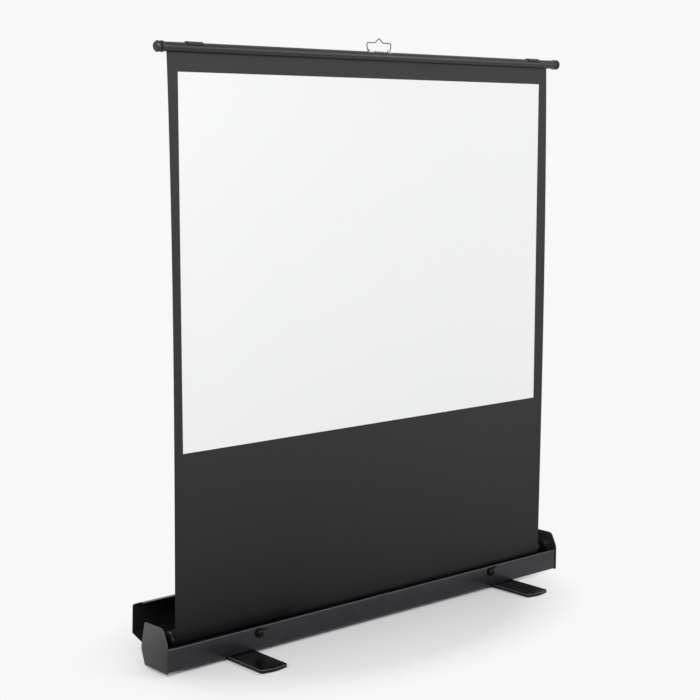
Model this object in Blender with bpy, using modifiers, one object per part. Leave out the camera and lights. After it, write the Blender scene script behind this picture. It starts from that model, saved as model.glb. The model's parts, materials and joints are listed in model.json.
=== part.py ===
"""A portable floor projector screen, pulled up and standing on its swung-out feet.

Metres, +Z up. The origin is on the floor under the middle of the case, +X runs along the case to the
right as seen from the front, and +Y points to the back.
"""

import math

import bmesh
import bpy
from mathutils import Matrix, Vector

# Clearances
CLEAR = 0.0003
SLIDE_CLEAR = 0.0004

# Case: an aluminium trough, its walls and the hinge bead along its rear edge
FOOT_HEIGHT = 0.012
CASE_LENGTH = 1.800
CASE_DEPTH = 0.119
CASE_WALL = 0.002
CASE_CORNER = 0.003
FRONT_WALL_HEIGHT = 0.074
FRONT_FLANGE = 0.008
REAR_WALL_HEIGHT = 0.048
REAR_WALL_LEAN = 0.017
SCREW_PORT_RADIUS = 0.0032

# Lid and its hinge
HINGE_RISE = 0.010
HINGE_INSET = 0.004
BEAD_RADIUS = 0.003
HINGE_CLEAR = 0.0003
LID_INSET = 0.010
LID_LENGTH = CASE_LENGTH - 2 * LID_INSET
LID_WALL = 0.002
LID_HOOK_WALL = 0.0015
LID_HOOK_START = math.radians(30)
LID_HOOK_END = math.radians(240)
LID_OPEN_ANGLE = math.radians(87)
LID_HEIGHT = 0.136
LID_REAR_INSET = 0.016
LID_TOP_DEPTH = 0.094
LID_SHOULDER = 0.014
LID_SEAM = 0.0015

# End caps: moulded cups that sleeve over the ends of the case
CAP_LENGTH = 0.005
CAP_PLATE = 0.003
CAP_WALL = 0.0027
CAP_PROUD = 0.003
CAP_EDGE = 0.0024
CAP_CREST = 0.0015
BOSS_RADIUS = 0.012
BOSS_LENGTH = 0.012

# Spring roller and the cloth
ROLLER_HEIGHT = 0.086
ROLLER_RADIUS = 0.025
ROLLER_WALL = 0.0015
ROLLER_OVERHANG = 0.008
PLUG_FLANGE = 0.007
PLUG_STUB = 0.022
AXLE_RADIUS = 0.0039
SPRING_RADIUS = 0.0125
SPRING_WIRE = 0.0011
SPRING_TURNS = 14
SPRING_LENGTH = 0.210
CLOTH_WOUND = 0.0011
CLOTH_SETBACK = 0.0284
CLOTH_SHIFT = -0.010
CLOTH_THICKNESS = 0.0008
CLOTH_INSET = 0.060
SIDE_BORDER = 0.040
WHITE_WIDTH = CASE_LENGTH - 2 * (CLOTH_INSET + SIDE_BORDER)
WHITE_THICKNESS = 0.0005
WHITE_RISE = 0.675
TOP_BORDER = 0.0725

# Top slat, its end knobs, rubber buffers and pull bail
SLAT_RISE = 1.9075
WHITE_HEIGHT = SLAT_RISE - TOP_BORDER - WHITE_RISE
SLAT_RADIUS = 0.0150
SLAT_WALL = 0.0015
SLAT_INSET = 0.050
SLAT_LENGTH = CASE_LENGTH - 2 * SLAT_INSET
SLAT_SLOT = 0.0022
KEDER_RADIUS = 0.0022
KNOB_LENGTH = 0.039
KNOB_RADIUS = 0.0175
KNOB_NECK_RADIUS = 0.0125
KNOB_STUB = 0.020
BUFFER_LENGTH = 0.058
BUFFER_SETBACK = 0.099
BUFFER_PLACE = SLAT_LENGTH / 2 - BUFFER_SETBACK
BUFFER_WALL = 0.0030
BUFFER_WRAP = math.radians(62)
BAIL_WIRE = 0.0019
BAIL_WIDTH = 0.110
BAIL_SHOULDER = 0.031
BAIL_PEAK = 0.046
BAIL_BUMP = 0.036
BRACKET_SADDLE_LENGTH = 0.022
BRACKET_SADDLE_WALL = 0.0012
BRACKET_SADDLE_WRAP = math.radians(42)
LUG_LENGTH = 0.005
LUG_WALL = 0.0014

# Telescopic mast: three rectangular tubes in a socket behind the roller
MAST_WIDTH = 0.028
MAST_DEPTH = 0.015
MAST_WALL = 0.0013
MAST_CORNER = 0.002
MAST_GAP = 0.002
MAST_SECTION = 0.660
MAST_OVERLAP = 0.050
SOCKET_WALL = 0.003
SOCKET_HEIGHT = 0.048
SOCKET_PLATE = 0.003
SOCKET_PLATE_WIDTH = 0.076
SOCKET_SCREW_RADIUS = 0.003
SOCKET_KNOB_RADIUS = 0.009
SOCKET_KNOB_LENGTH = 0.012
COLLAR_WALL = 0.003
COLLAR_SKIRT = 0.024
COLLAR_LIP = 0.008
LEVER_LENGTH = 0.042
LEVER_WIDTH = 0.009
LEVER_THICKNESS = 0.0036
LEVER_HUB = 0.0048
LEVER_PIN = 0.0018
EAR_THICKNESS = 0.003
CRADLE_WALL = 0.003
CRADLE_WIDTH = 0.036
CRADLE_LOW = math.radians(-72)
CRADLE_HIGH = math.radians(112)
ARM_THICKNESS = 0.012

# Swing-out feet
FOOT_SETBACK = 0.288
FOOT_PLACE = CASE_LENGTH / 2 - FOOT_SETBACK
FOOT_LENGTH = 0.474
FOOT_WIDTH = 0.104
FOOT_TIP_BOW = 0.008
FOOT_CHAMFER = 0.0032
PAD_THICKNESS = 0.002
PAD_LENGTH = 0.034
PAD_MARGIN = 0.009
PIVOT_RADIUS = 0.005
PIVOT_HEAD_RADIUS = 0.009
PIVOT_HEAD_HEIGHT = 0.003
NUT_RADIUS = 0.0085
NUT_HEIGHT = 0.006

# Latches on the front wall
LATCH_SETBACK = 0.360
LATCH_PLACE = CASE_LENGTH / 2 - LATCH_SETBACK
LATCH_RISE = 0.054
LATCH_DISC_RADIUS = 0.0160
LATCH_DISC_THICKNESS = 0.007
LATCH_POST_RADIUS = 0.004
LATCH_CAP_RADIUS = 0.0080
LATCH_CAP_THICKNESS = 0.0022
LATCH_LEVER_LENGTH = 0.040
LATCH_LEVER_WIDTH = 0.0135
LATCH_LEVER_TIP = 0.0090
LATCH_LEVER_THICKNESS = 0.0045
LATCH_REST_LEFT = math.radians(4)
LATCH_REST_RIGHT = math.radians(26)
KEEPER_WIDTH = 0.016
KEEPER_HEIGHT = 0.008
KEEPER_DEPTH = 0.007

# Carry handle on the lid
HANDLE_SPAN = 0.150
HANDLE_REACH = 0.036
HANDLE_WIRE = 0.0045
HANDLE_GRIP_RADIUS = 0.0085
HANDLE_GRIP_LENGTH = 0.100
HANDLE_HEIGHT = 0.0105
BRACKET_WIDTH = 0.016
BRACKET_DEPTH = 0.024

# Places worked out from the sizes above
CASE_FRONT = -CASE_DEPTH / 2
CASE_REAR = CASE_DEPTH / 2
CASE_BOTTOM = FOOT_HEIGHT
CASE_TOP_FRONT = CASE_BOTTOM + FRONT_WALL_HEIGHT
HINGE_Y = CASE_REAR + REAR_WALL_LEAN - HINGE_INSET
HINGE_Z = CASE_BOTTOM + REAR_WALL_HEIGHT + HINGE_RISE
CLOTH_Y = CASE_FRONT + CLOTH_SETBACK
CLOTH_WIDTH = WHITE_WIDTH + 2 * SIDE_BORDER
ROLL_RADIUS = ROLLER_RADIUS + CLEAR + CLOTH_WOUND
ROLLER_Y = CLOTH_Y + CLOTH_THICKNESS / 2 + CLEAR + ROLL_RADIUS
ROLLER_Z = CASE_BOTTOM + ROLLER_HEIGHT
ROLLER_HALF = CLOTH_WIDTH / 2 + ROLLER_OVERHANG
SLAT_Z = CASE_BOTTOM + SLAT_RISE
SLAT_TOP = SLAT_Z + SLAT_RADIUS
MAST_Y = ROLLER_Y + ROLL_RADIUS + MAST_GAP + MAST_DEPTH / 2
SOCKET_FLOOR = CASE_BOTTOM + CASE_WALL + CLEAR + SOCKET_PLATE
MAST_BOTTOM = SOCKET_FLOOR + CLEAR
MAST_STEP = MAST_SECTION - MAST_OVERLAP
CAP_OUTER = CASE_LENGTH / 2 + CLEAR + CAP_PLATE

PART = bpy.data.collections.new("portable_projector_screen")
CUTTERS = bpy.data.collections.new("cutters")


def clear_scene():
    for obj in list(bpy.data.objects):
        bpy.data.objects.remove(obj)
    for collection in (PART, CUTTERS):
        bpy.context.scene.collection.children.link(collection)
    CUTTERS.hide_render = True


def finish(name, colour, roughness, metallic=0.0):
    """A plain finish: its colour, roughness and metallic value."""
    made = bpy.data.materials.new(name)
    made.use_nodes = True
    shader = made.node_tree.nodes["Principled BSDF"]
    shader.inputs["Base Color"].default_value = (*colour, 1.0)
    shader.inputs["Roughness"].default_value = roughness
    shader.inputs["Metallic"].default_value = metallic
    made.diffuse_color = (*colour, 1.0)
    return made


CASE_BLACK = finish("case_black", (0.030, 0.030, 0.033), 0.38)
CAP_BLACK = finish("cap_black", (0.055, 0.055, 0.058), 0.50)
CLOTH_BLACK = finish("cloth_black", (0.022, 0.022, 0.023), 0.85)
SCREEN_WHITE = finish("screen_white", (0.86, 0.87, 0.88), 0.90)
SLAT_BLACK = finish("slat_black", (0.028, 0.028, 0.030), 0.42)
RUBBER = finish("rubber", (0.015, 0.015, 0.015), 0.80)
STEEL = finish("bright_steel", (0.62, 0.63, 0.64), 0.30, 1.0)
ALUMINIUM = finish("bare_aluminium", (0.70, 0.71, 0.72), 0.35, 1.0)
FOOT_BLACK = finish("foot_black", (0.018, 0.018, 0.019), 0.35)


def add(name, mesh, material, collection=None):
    obj = bpy.data.objects.new(name, mesh)
    (collection or PART).objects.link(obj)
    if material:
        mesh.materials.clear()
        mesh.materials.append(material)
    return obj


def cutter(obj):
    """Keeps a helper solid out of the part."""
    PART.objects.unlink(obj)
    CUTTERS.objects.link(obj)
    obj.hide_render = True
    obj.display_type = "WIRE"
    return obj


def smooth(obj, angle=math.radians(35)):
    obj.data.shade_smooth()
    obj.data.set_sharp_from_angle(angle=angle)
    return obj


def curve_mesh(name, splines, cyclic, extrude=0.0, bevel=0.0, resolution=2, flat=True):
    """The mesh of a poly curve: filled and extruded, a ribbon, or a tube with closed ends."""
    curve = bpy.data.curves.new(name, "CURVE")
    curve.dimensions = "2D" if flat else "3D"
    if flat:
        curve.fill_mode = "BOTH" if cyclic else "NONE"
    curve.extrude = extrude
    curve.bevel_depth = bevel
    curve.bevel_resolution = resolution
    curve.use_fill_caps = bevel > 0
    for points in splines:
        spline = curve.splines.new("POLY")
        spline.points.add(len(points) - 1)
        for point, place in zip(spline.points, points):
            point.co = (*place, *([0.0] * (3 - len(place))), 1.0)
        spline.use_cyclic_u = cyclic
    guide = bpy.data.objects.new(name + "_curve", curve)
    bpy.context.scene.collection.objects.link(guide)
    graph = bpy.context.evaluated_depsgraph_get()
    mesh = bpy.data.meshes.new_from_object(guide.evaluated_get(graph))
    bpy.data.objects.remove(guide)
    work = bmesh.new()
    work.from_mesh(mesh)
    bmesh.ops.remove_doubles(work, verts=work.verts, dist=0.00001)
    work.to_mesh(mesh)
    work.free()
    mesh.name = name
    return mesh


def rounded(points, radii, steps=3, closed=False):
    """A polyline whose corners are turned by arcs of the given radii."""
    count = len(points)
    out = []
    for index, point in enumerate(points):
        radius = radii[index] if isinstance(radii, (list, tuple)) else radii
        if radius <= 0 or (not closed and index in (0, count - 1)):
            out.append(tuple(point))
            continue
        corner = Vector(point)
        back = (Vector(points[index - 1]) - corner)
        ahead = (Vector(points[(index + 1) % count]) - corner)
        turn = back.angle(ahead)
        reach = min(radius / math.tan(turn / 2), 0.49 * back.length, 0.49 * ahead.length)
        start = corner + back.normalized() * reach
        end = corner + ahead.normalized() * reach
        pieces = max(1, min(steps, round(math.degrees(math.pi - turn) / 8)))
        for step in range(pieces + 1):
            share = step / pieces
            # A quadratic curve through the two tangent points, close to the arc at these sizes
            place = start * (1 - share) ** 2 + corner * 2 * share * (1 - share) + end * share**2
            out.append(tuple(place))
    return out


def arc(centre, radius, start, end, steps):
    """Points on an arc, with angles measured from +Y towards +Z or from +X towards +Y."""
    return [
        (
            centre[0] + radius * math.cos(start + (end - start) * step / steps),
            centre[1] + radius * math.sin(start + (end - start) * step / steps),
        )
        for step in range(steps + 1)
    ]


def inset(outline, distance):
    """A closed outline that runs anticlockwise, moved inwards by a distance."""
    count = len(outline)
    out = []
    for index in range(count):
        before, here, after = (Vector(outline[(index + k) % count]) for k in (-1, 0, 1))
        first = (here - before).normalized()
        second = (after - here).normalized()
        inward = Vector((-first.y - second.y, first.x + second.x))
        reach = distance / max(0.2, (1 + first.dot(second)) / 2) / 2
        out.append(tuple(here + inward * reach))
    return out


def along_x(obj, centre):
    """Stands a shape drawn in its own X and Y up in the part's Y and Z, extruded along X."""
    obj.rotation_euler = (math.pi / 2, 0, math.pi / 2)
    obj.location.x = centre
    return obj


def extrusion(name, outline, length, centre, material):
    """A closed outline in Y and Z, extruded along X."""
    mesh = curve_mesh(name, [outline], True, extrude=length / 2)
    return along_x(add(name, mesh, material), centre)


def folded_sheet(name, path, wall, length, centre, material):
    """A sheet of even wall that follows an open path in Y and Z, extruded along X."""
    obj = add(name, curve_mesh(name, [path], False, extrude=length / 2), material)
    shell = obj.modifiers.new("wall", "SOLIDIFY")
    shell.thickness = wall
    shell.offset = 0
    shell.use_even_offset = True
    return along_x(obj, centre)


def plate(name, outlines, low, high, material):
    """Outlines in X and Y, extruded along Z between two heights; an inner outline is a hole."""
    obj = add(name, curve_mesh(name, outlines, True, extrude=(high - low) / 2), material)
    obj.location.z = (low + high) / 2
    return obj


def lofted(name, loops, material):
    """A closed body through loops of points, each with the same number, with a face on each end."""
    work = bmesh.new()
    rings = [[work.verts.new(point) for point in loop] for loop in loops]
    count = len(loops[0])
    for ring, following in zip(rings, rings[1:]):
        for index in range(count):
            after = (index + 1) % count
            work.faces.new((ring[index], ring[after], following[after], following[index]))
    work.faces.new(rings[0])
    work.faces.new(rings[-1])
    bmesh.ops.recalc_face_normals(work, faces=work.faces)
    mesh = bpy.data.meshes.new(name)
    work.to_mesh(mesh)
    work.free()
    return smooth(add(name, mesh, material), math.radians(25))


AXIS_TURN = {
    "X": Matrix.Rotation(math.pi / 2, 4, "Y"),
    "Y": Matrix.Rotation(-math.pi / 2, 4, "X"),
    "Z": Matrix.Identity(4),
}


def rod(name, radius, start, end, place, axis, material, segments=24, tip_radius=None):
    """A cylinder or cone from start to end along an axis; place is its point across the axis."""
    work = bmesh.new()
    bmesh.ops.create_cone(
        work,
        cap_ends=True,
        segments=segments,
        radius1=radius,
        radius2=radius if tip_radius is None else tip_radius,
        depth=end - start,
    )
    bmesh.ops.transform(work, matrix=AXIS_TURN[axis], verts=work.verts)
    mesh = bpy.data.meshes.new(name)
    work.to_mesh(mesh)
    work.free()
    obj = add(name, mesh, material)
    middle = (start + end) / 2
    obj.location = {
        "X": (middle, place[0], place[1]),
        "Y": (place[0], middle, place[1]),
        "Z": (place[0], place[1], middle),
    }[axis]
    return smooth(obj)


def block(name, low, high, material, edge=0.0, segments=1):
    """A box between two corners, its edges eased by a bevel."""
    work = bmesh.new()
    bmesh.ops.create_cube(work, size=1.0)
    size = [b - a for a, b in zip(low, high)]
    bmesh.ops.scale(work, vec=size, verts=work.verts)
    mesh = bpy.data.meshes.new(name)
    work.to_mesh(mesh)
    work.free()
    obj = add(name, mesh, material)
    obj.location = [(a + b) / 2 for a, b in zip(low, high)]
    if edge:
        ease(obj, edge, segments)
    return obj


def ease(obj, width, segments=1):
    bevel = obj.modifiers.new("eased_edges", "BEVEL")
    bevel.width = width
    bevel.segments = segments
    bevel.limit_method = "ANGLE"
    bevel.angle_limit = math.radians(40)
    return obj


def ease_end(obj, width, segments, side):
    """Eases only the edges round one end of an extrusion, at its own +Z or -Z side."""
    mesh = obj.data
    reach = max(vertex.co.z for vertex in mesh.vertices)
    weights = mesh.attributes.new("bevel_weight_edge", "FLOAT", "EDGE")
    for edge in mesh.edges:
        ends = [mesh.vertices[index].co.z * side for index in edge.vertices]
        on_rim = min(ends) > 0.999 * reach
        weights.data[edge.index].value = 1.0 if on_rim else 0.0
    bevel = obj.modifiers.new("eased_rim", "BEVEL")
    bevel.width = width
    bevel.segments = segments
    bevel.limit_method = "WEIGHT"
    return obj


def turned(name, profile, place, axis, material, steps=24):
    """A lathe profile of (radius, height) points, from its top down its outer side, turned about an axis."""
    mesh = bpy.data.meshes.new(name)
    points = [(radius, 0.0, height) for radius, height in profile]
    closed = profile[0][0] > 0 and profile[-1][0] > 0
    edges = [(index, index + 1) for index in range(len(points) - 1)]
    if closed:
        edges.append((len(points) - 1, 0))
    mesh.from_pydata(points, edges, [])
    obj = add(name, mesh, material)
    screw = obj.modifiers.new("turned", "SCREW")
    screw.axis = "Z"
    screw.steps = steps
    screw.render_steps = steps
    screw.use_merge_vertices = True
    screw.merge_threshold = 0.00001
    screw.use_smooth_shade = True
    obj.matrix_world = Matrix.Translation(place) @ AXIS_TURN[axis]
    return obj


def bent_rod(name, points, radius, material, resolution=2):
    """A round rod or wire along a list of points."""
    mesh = curve_mesh(name, [points], False, bevel=radius, resolution=resolution, flat=False)
    return smooth(add(name, mesh, material))


def change(obj, tool, operation):
    """Cuts a helper solid from an object, or joins it to the object."""
    boolean = obj.modifiers.new(tool.name, "BOOLEAN")
    boolean.operation = operation
    boolean.object = cutter(tool)
    return obj


def cut(obj, tool):
    return change(obj, tool, "DIFFERENCE")


def join(obj, tool):
    return change(obj, tool, "UNION")


def axis_empty(name, place, turn=0.0):
    """An empty on a joint's axis, to which the moving pieces are parented."""
    empty = bpy.data.objects.new(name, None)
    PART.objects.link(empty)
    empty.location = place
    empty.rotation_euler.x = turn
    return empty


def hang(obj, empty):
    """Parents a piece that was placed in the part's own frame to an empty that isn't turned yet."""
    obj.parent = empty
    obj.matrix_parent_inverse = Matrix.Translation(empty.location).inverted()
    return obj


def rectangle(width, depth, centre_y, corner, grow=0.0):
    """A rectangular tube's outline in X and Y with rounded corners."""
    half_x = width / 2 + grow
    half_y = depth / 2 + grow
    corners = [
        (half_x, centre_y - half_y),
        (half_x, centre_y + half_y),
        (-half_x, centre_y + half_y),
        (-half_x, centre_y - half_y),
    ]
    return rounded(corners, max(corner + grow, 0.0003), 2, True)


# The case


def make_case():
    half_wall = CASE_WALL / 2
    path = [
        (CASE_FRONT + FRONT_FLANGE, CASE_TOP_FRONT - half_wall),
        (CASE_FRONT + half_wall, CASE_TOP_FRONT - half_wall),
        (CASE_FRONT + half_wall, CASE_BOTTOM + half_wall),
        (CASE_REAR - half_wall, CASE_BOTTOM + half_wall),
        (CASE_REAR + REAR_WALL_LEAN - half_wall, CASE_BOTTOM + REAR_WALL_HEIGHT),
        (HINGE_Y, HINGE_Z - BEAD_RADIUS * 0.7),
    ]
    case = folded_sheet(
        "case_base", rounded(path, CASE_CORNER), CASE_WALL, CASE_LENGTH, 0, CASE_BLACK
    )
    # The bead and the screw ports stop just short of the sawn ends
    end = CASE_LENGTH / 2 - CASE_WALL
    join(case, rod("hinge_bead", BEAD_RADIUS, -end, end, (HINGE_Y, HINGE_Z), "X", None, 16))
    port_reach = CASE_WALL + SCREW_PORT_RADIUS * 0.8
    front = (CASE_FRONT + port_reach, CASE_BOTTOM + port_reach)
    rear = (CASE_REAR + REAR_WALL_LEAN / 2 - port_reach, CASE_BOTTOM + REAR_WALL_HEIGHT / 2)
    for name, place in (("front", front), ("rear", rear)):
        join(case, rod(f"{name}_screw_port", SCREW_PORT_RADIUS, -end, end, place, "X", None, 12))
    for side in (-1, 1):
        hole = rod(
            f"pivot_hole_{side}",
            PIVOT_RADIUS + CLEAR,
            CASE_BOTTOM - CASE_WALL,
            CASE_BOTTOM + 2 * CASE_WALL,
            (side * FOOT_PLACE, 0),
            "Z",
            None,
        )
        cut(case, hole)
    return case


def cap_outline():
    """The end cap's outline in Y and Z, anticlockwise from its lower front corner."""
    proud = CAP_PROUD
    top = CASE_BOTTOM + LID_HEIGHT + CAP_CREST
    rear_top = CASE_REAR + REAR_WALL_LEAN - HINGE_INSET - LID_REAR_INSET
    front_top = rear_top - LID_TOP_DEPTH
    corners = [
        (CASE_FRONT - proud, CASE_BOTTOM - proud),
        (CASE_REAR + proud, CASE_BOTTOM - proud),
        (CASE_REAR + REAR_WALL_LEAN + proud, CASE_BOTTOM + REAR_WALL_HEIGHT - proud),
        (CASE_REAR + REAR_WALL_LEAN + proud, HINGE_Z),
        (rear_top + proud, top),
        (front_top, top),
        (CASE_FRONT - proud, CASE_TOP_FRONT + LID_SHOULDER),
    ]
    return rounded(corners, [0.005, 0.005, 0.006, 0.006, 0.005, 0.020, 0.050], 5, True)


def make_end_cap(name, side):
    outline = cap_outline()
    hollow_end = CAP_OUTER - CAP_PLATE
    mouth = CAP_OUTER - CAP_LENGTH
    # From the hollow's floor out to the mouth, over the rim, and round the eased edge to the end
    rings = [
        (hollow_end, CAP_WALL),
        (mouth, CAP_WALL),
        (mouth, 0),
        (CAP_OUTER - CAP_EDGE, 0),
        (CAP_OUTER - CAP_EDGE * 0.3, CAP_EDGE * 0.3),
        (CAP_OUTER, CAP_EDGE),
    ]
    loops = [[(side * x, y, z) for y, z in inset(outline, depth)] for x, depth in rings]
    cap = lofted(name, loops, CAP_BLACK)
    boss_start = hollow_end - BOSS_LENGTH
    ends = sorted((side * boss_start, side * (hollow_end + CAP_PLATE / 2)))
    axle = (ROLLER_Y, ROLLER_Z)
    join(cap, rod(name + "_boss", BOSS_RADIUS, *ends, axle, "X", None, 24))
    ends = sorted((side * (boss_start - BOSS_LENGTH), side * hollow_end))
    cut(cap, rod(name + "_bore", AXLE_RADIUS + CLEAR, *ends, axle, "X", None, 20))
    return cap


# The lid


def lid_path():
    """The closed lid's middle line in Y and Z, from its hinge to the lip over the front wall."""
    height = CASE_BOTTOM + LID_HEIGHT - LID_WALL / 2
    rear = Vector((HINGE_Y - LID_REAR_INSET, height))
    hinge = Vector((HINGE_Y, HINGE_Z))
    reach = BEAD_RADIUS + HINGE_CLEAR + LID_WALL / 2
    away = rear - hinge
    angle = math.atan2(away.y, away.x) - math.acos(reach / away.length)
    touch = hinge + reach * Vector((math.cos(angle), math.sin(angle)))
    start = touch + (rear - touch).normalized() * BEAD_RADIUS
    front_top = (rear.x - LID_TOP_DEPTH, height)
    lip = (CASE_FRONT + LID_WALL / 2, CASE_TOP_FRONT + LID_SHOULDER)
    tip = (CASE_FRONT + LID_WALL / 2, CASE_TOP_FRONT + LID_SEAM)
    path = [tuple(start), tuple(rear), front_top, lip, tip]
    return rounded(path, [0, 0.004, 0.014, 0.045, 0], 5)


def make_lid(hinge):
    lid = folded_sheet("lid", lid_path(), LID_WALL, LID_LENGTH, 0, CASE_BLACK)
    hook_radius = BEAD_RADIUS + HINGE_CLEAR + LID_HOOK_WALL / 2
    hook = folded_sheet(
        "lid_hook",
        arc((HINGE_Y, HINGE_Z), hook_radius, LID_HOOK_START, LID_HOOK_END, 12),
        LID_HOOK_WALL,
        LID_LENGTH - 2 * LID_WALL,
        0,
        None,
    )
    hang(hook, hinge)
    join(lid, hook)
    return hang(lid, hinge)


def make_keeper(name, x, hinge):
    """A small striker on the lid's lip, for the latch to hook over."""
    front = CASE_FRONT - CLEAR
    low = CASE_TOP_FRONT + LID_SEAM + KEEPER_HEIGHT / 16
    keeper = block(
        name,
        (x - KEEPER_WIDTH / 2, front - KEEPER_DEPTH, low),
        (x + KEEPER_WIDTH / 2, front, low + KEEPER_HEIGHT),
        FOOT_BLACK,
        0.0015,
        2,
    )
    return hang(keeper, hinge)


def handle_places():
    top = CASE_BOTTOM + LID_HEIGHT
    pivot_y = HINGE_Y - LID_REAR_INSET - LID_TOP_DEPTH / 2
    return pivot_y, top + CLEAR, top + HANDLE_HEIGHT


def make_bracket(name, side, hinge):
    pivot_y, low, axis_z = handle_places()
    middle = side * HANDLE_SPAN / 2
    outer = BRACKET_WIDTH / 2
    profile = [
        (pivot_y - BRACKET_DEPTH / 2, low),
        (pivot_y + BRACKET_DEPTH / 2, low),
        (pivot_y + BRACKET_DEPTH / 4, axis_z + 2 * HANDLE_WIRE),
        (pivot_y - BRACKET_DEPTH / 4, axis_z + 2 * HANDLE_WIRE),
    ]
    profile = rounded(profile, [0, 0, 0.006, 0.006], 3, True)
    bracket = extrusion(name, profile, BRACKET_WIDTH, middle, CAP_BLACK)
    ease(bracket, 0.0008)
    # The socket is open towards the handle and blind on the outer side
    ends = sorted((middle - side * BRACKET_WIDTH, middle + side * (outer - 0.003)))
    hang(bracket, hinge)
    bore = rod(name + "_bore", HANDLE_WIRE + CLEAR, *ends, (pivot_y, axis_z), "X", None, 20)
    hang(bore, hinge)
    return cut(bracket, bore)


def make_handle(hinge):
    pivot_y, _, axis_z = handle_places()
    inner = HANDLE_SPAN / 2 - BRACKET_WIDTH / 2
    end = inner + BRACKET_WIDTH - 0.003 - CLEAR
    # The arms leave the brackets on their inner side, where the stubs turn towards the grip
    knee = inner - HANDLE_WIRE - 0.0015
    path = [
        (-end, pivot_y, axis_z),
        (-knee, pivot_y, axis_z),
        (-knee, pivot_y + HANDLE_REACH, axis_z),
        (knee, pivot_y + HANDLE_REACH, axis_z),
        (knee, pivot_y, axis_z),
        (end, pivot_y, axis_z),
    ]
    handle = bent_rod("carry_handle", rounded(path, 0.006, 3), HANDLE_WIRE, FOOT_BLACK)
    grip = turned(
        "handle_grip",
        [
            (0, HANDLE_GRIP_LENGTH / 2),
            (HANDLE_GRIP_RADIUS * 0.7, HANDLE_GRIP_LENGTH / 2),
            (HANDLE_GRIP_RADIUS, HANDLE_GRIP_LENGTH / 2 - 0.006),
            (HANDLE_GRIP_RADIUS, -HANDLE_GRIP_LENGTH / 2 + 0.006),
            (HANDLE_GRIP_RADIUS * 0.7, -HANDLE_GRIP_LENGTH / 2),
            (0, -HANDLE_GRIP_LENGTH / 2),
        ],
        (0, pivot_y + HANDLE_REACH, axis_z),
        "X",
        None,
        16,
    )
    hang_turned(grip, hinge)
    join(handle, grip)
    return hang(handle, hinge)


def hang_turned(obj, empty):
    """Parents a piece placed by its matrix, keeping where it stands."""
    place = obj.matrix_world.copy()
    obj.parent = empty
    obj.matrix_parent_inverse = Matrix.Translation(empty.location).inverted()
    obj.matrix_basis = place
    return obj


# The spring roller


def make_roller():
    half = ROLLER_HALF
    inner = ROLLER_RADIUS - ROLLER_WALL
    ring = [(ROLLER_RADIUS, half), (ROLLER_RADIUS, -half), (inner, -half), (inner, half)]
    centre = (CLOTH_SHIFT, ROLLER_Y, ROLLER_Z)
    turned("roller_tube", ring, centre, "X", SLAT_BLACK, 32)
    half = CLOTH_WIDTH / 2
    inner = ROLLER_RADIUS + CLEAR
    ring = [(ROLL_RADIUS, half), (ROLL_RADIUS, -half), (inner, -half), (inner, half)]
    turned("wound_cloth", ring, centre, "X", CLOTH_BLACK, 32)


def plug_profile(pin_end):
    """The turned outline of a roller plug, with its flange's outer face at height 0."""
    stub = ROLLER_RADIUS - ROLLER_WALL - CLEAR
    return [
        (0, pin_end),
        (AXLE_RADIUS * 0.8, pin_end),
        (AXLE_RADIUS, pin_end - 0.001),
        (AXLE_RADIUS, 0),
        (ROLLER_RADIUS - 0.001, 0),
        (ROLLER_RADIUS, -0.001),
        (ROLLER_RADIUS, -PLUG_FLANGE + CLEAR),
        (stub, -PLUG_FLANGE + CLEAR),
        (stub, -PLUG_FLANGE - PLUG_STUB),
        (0, -PLUG_FLANGE - PLUG_STUB),
    ]


def make_roller_ends():
    axle_end = CASE_LENGTH / 2 - CLEAR
    right_face = CLOTH_SHIFT + ROLLER_HALF + PLUG_FLANGE
    right = plug_profile(axle_end - right_face)
    turned("roller_plug_right", right, (right_face, ROLLER_Y, ROLLER_Z), "X", CAP_BLACK)
    left_face = CLOTH_SHIFT - ROLLER_HALF - PLUG_FLANGE
    bore = AXLE_RADIUS + CLEAR
    stub = ROLLER_RADIUS - ROLLER_WALL - CLEAR
    sleeve = [
        (bore, PLUG_FLANGE + PLUG_STUB),
        (stub, PLUG_FLANGE + PLUG_STUB),
        (stub, PLUG_FLANGE - CLEAR),
        (ROLLER_RADIUS, PLUG_FLANGE - CLEAR),
        (ROLLER_RADIUS, 0.001),
        (ROLLER_RADIUS - 0.001, 0),
        (bore, 0),
    ]
    turned("roller_plug_left", sleeve, (left_face, ROLLER_Y, ROLLER_Z), "X", CAP_BLACK)
    spring_start = left_face + PLUG_FLANGE + PLUG_STUB + SPRING_WIRE + CLEAR
    shaft_end = spring_start + SPRING_LENGTH + 0.020
    rod("spring_shaft", AXLE_RADIUS, -axle_end, shaft_end, (ROLLER_Y, ROLLER_Z), "X", STEEL, 20)
    steps = SPRING_TURNS * 9
    points = []
    for step in range(steps + 1):
        angle = 2 * math.pi * SPRING_TURNS * step / steps
        points.append(
            (
                spring_start + SPRING_LENGTH * step / steps,
                ROLLER_Y + SPRING_RADIUS * math.cos(angle),
                ROLLER_Z + SPRING_RADIUS * math.sin(angle),
            )
        )
    bent_rod("roller_spring", points, SPRING_WIRE, STEEL, 1)


# The cloth and the top slat


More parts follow.
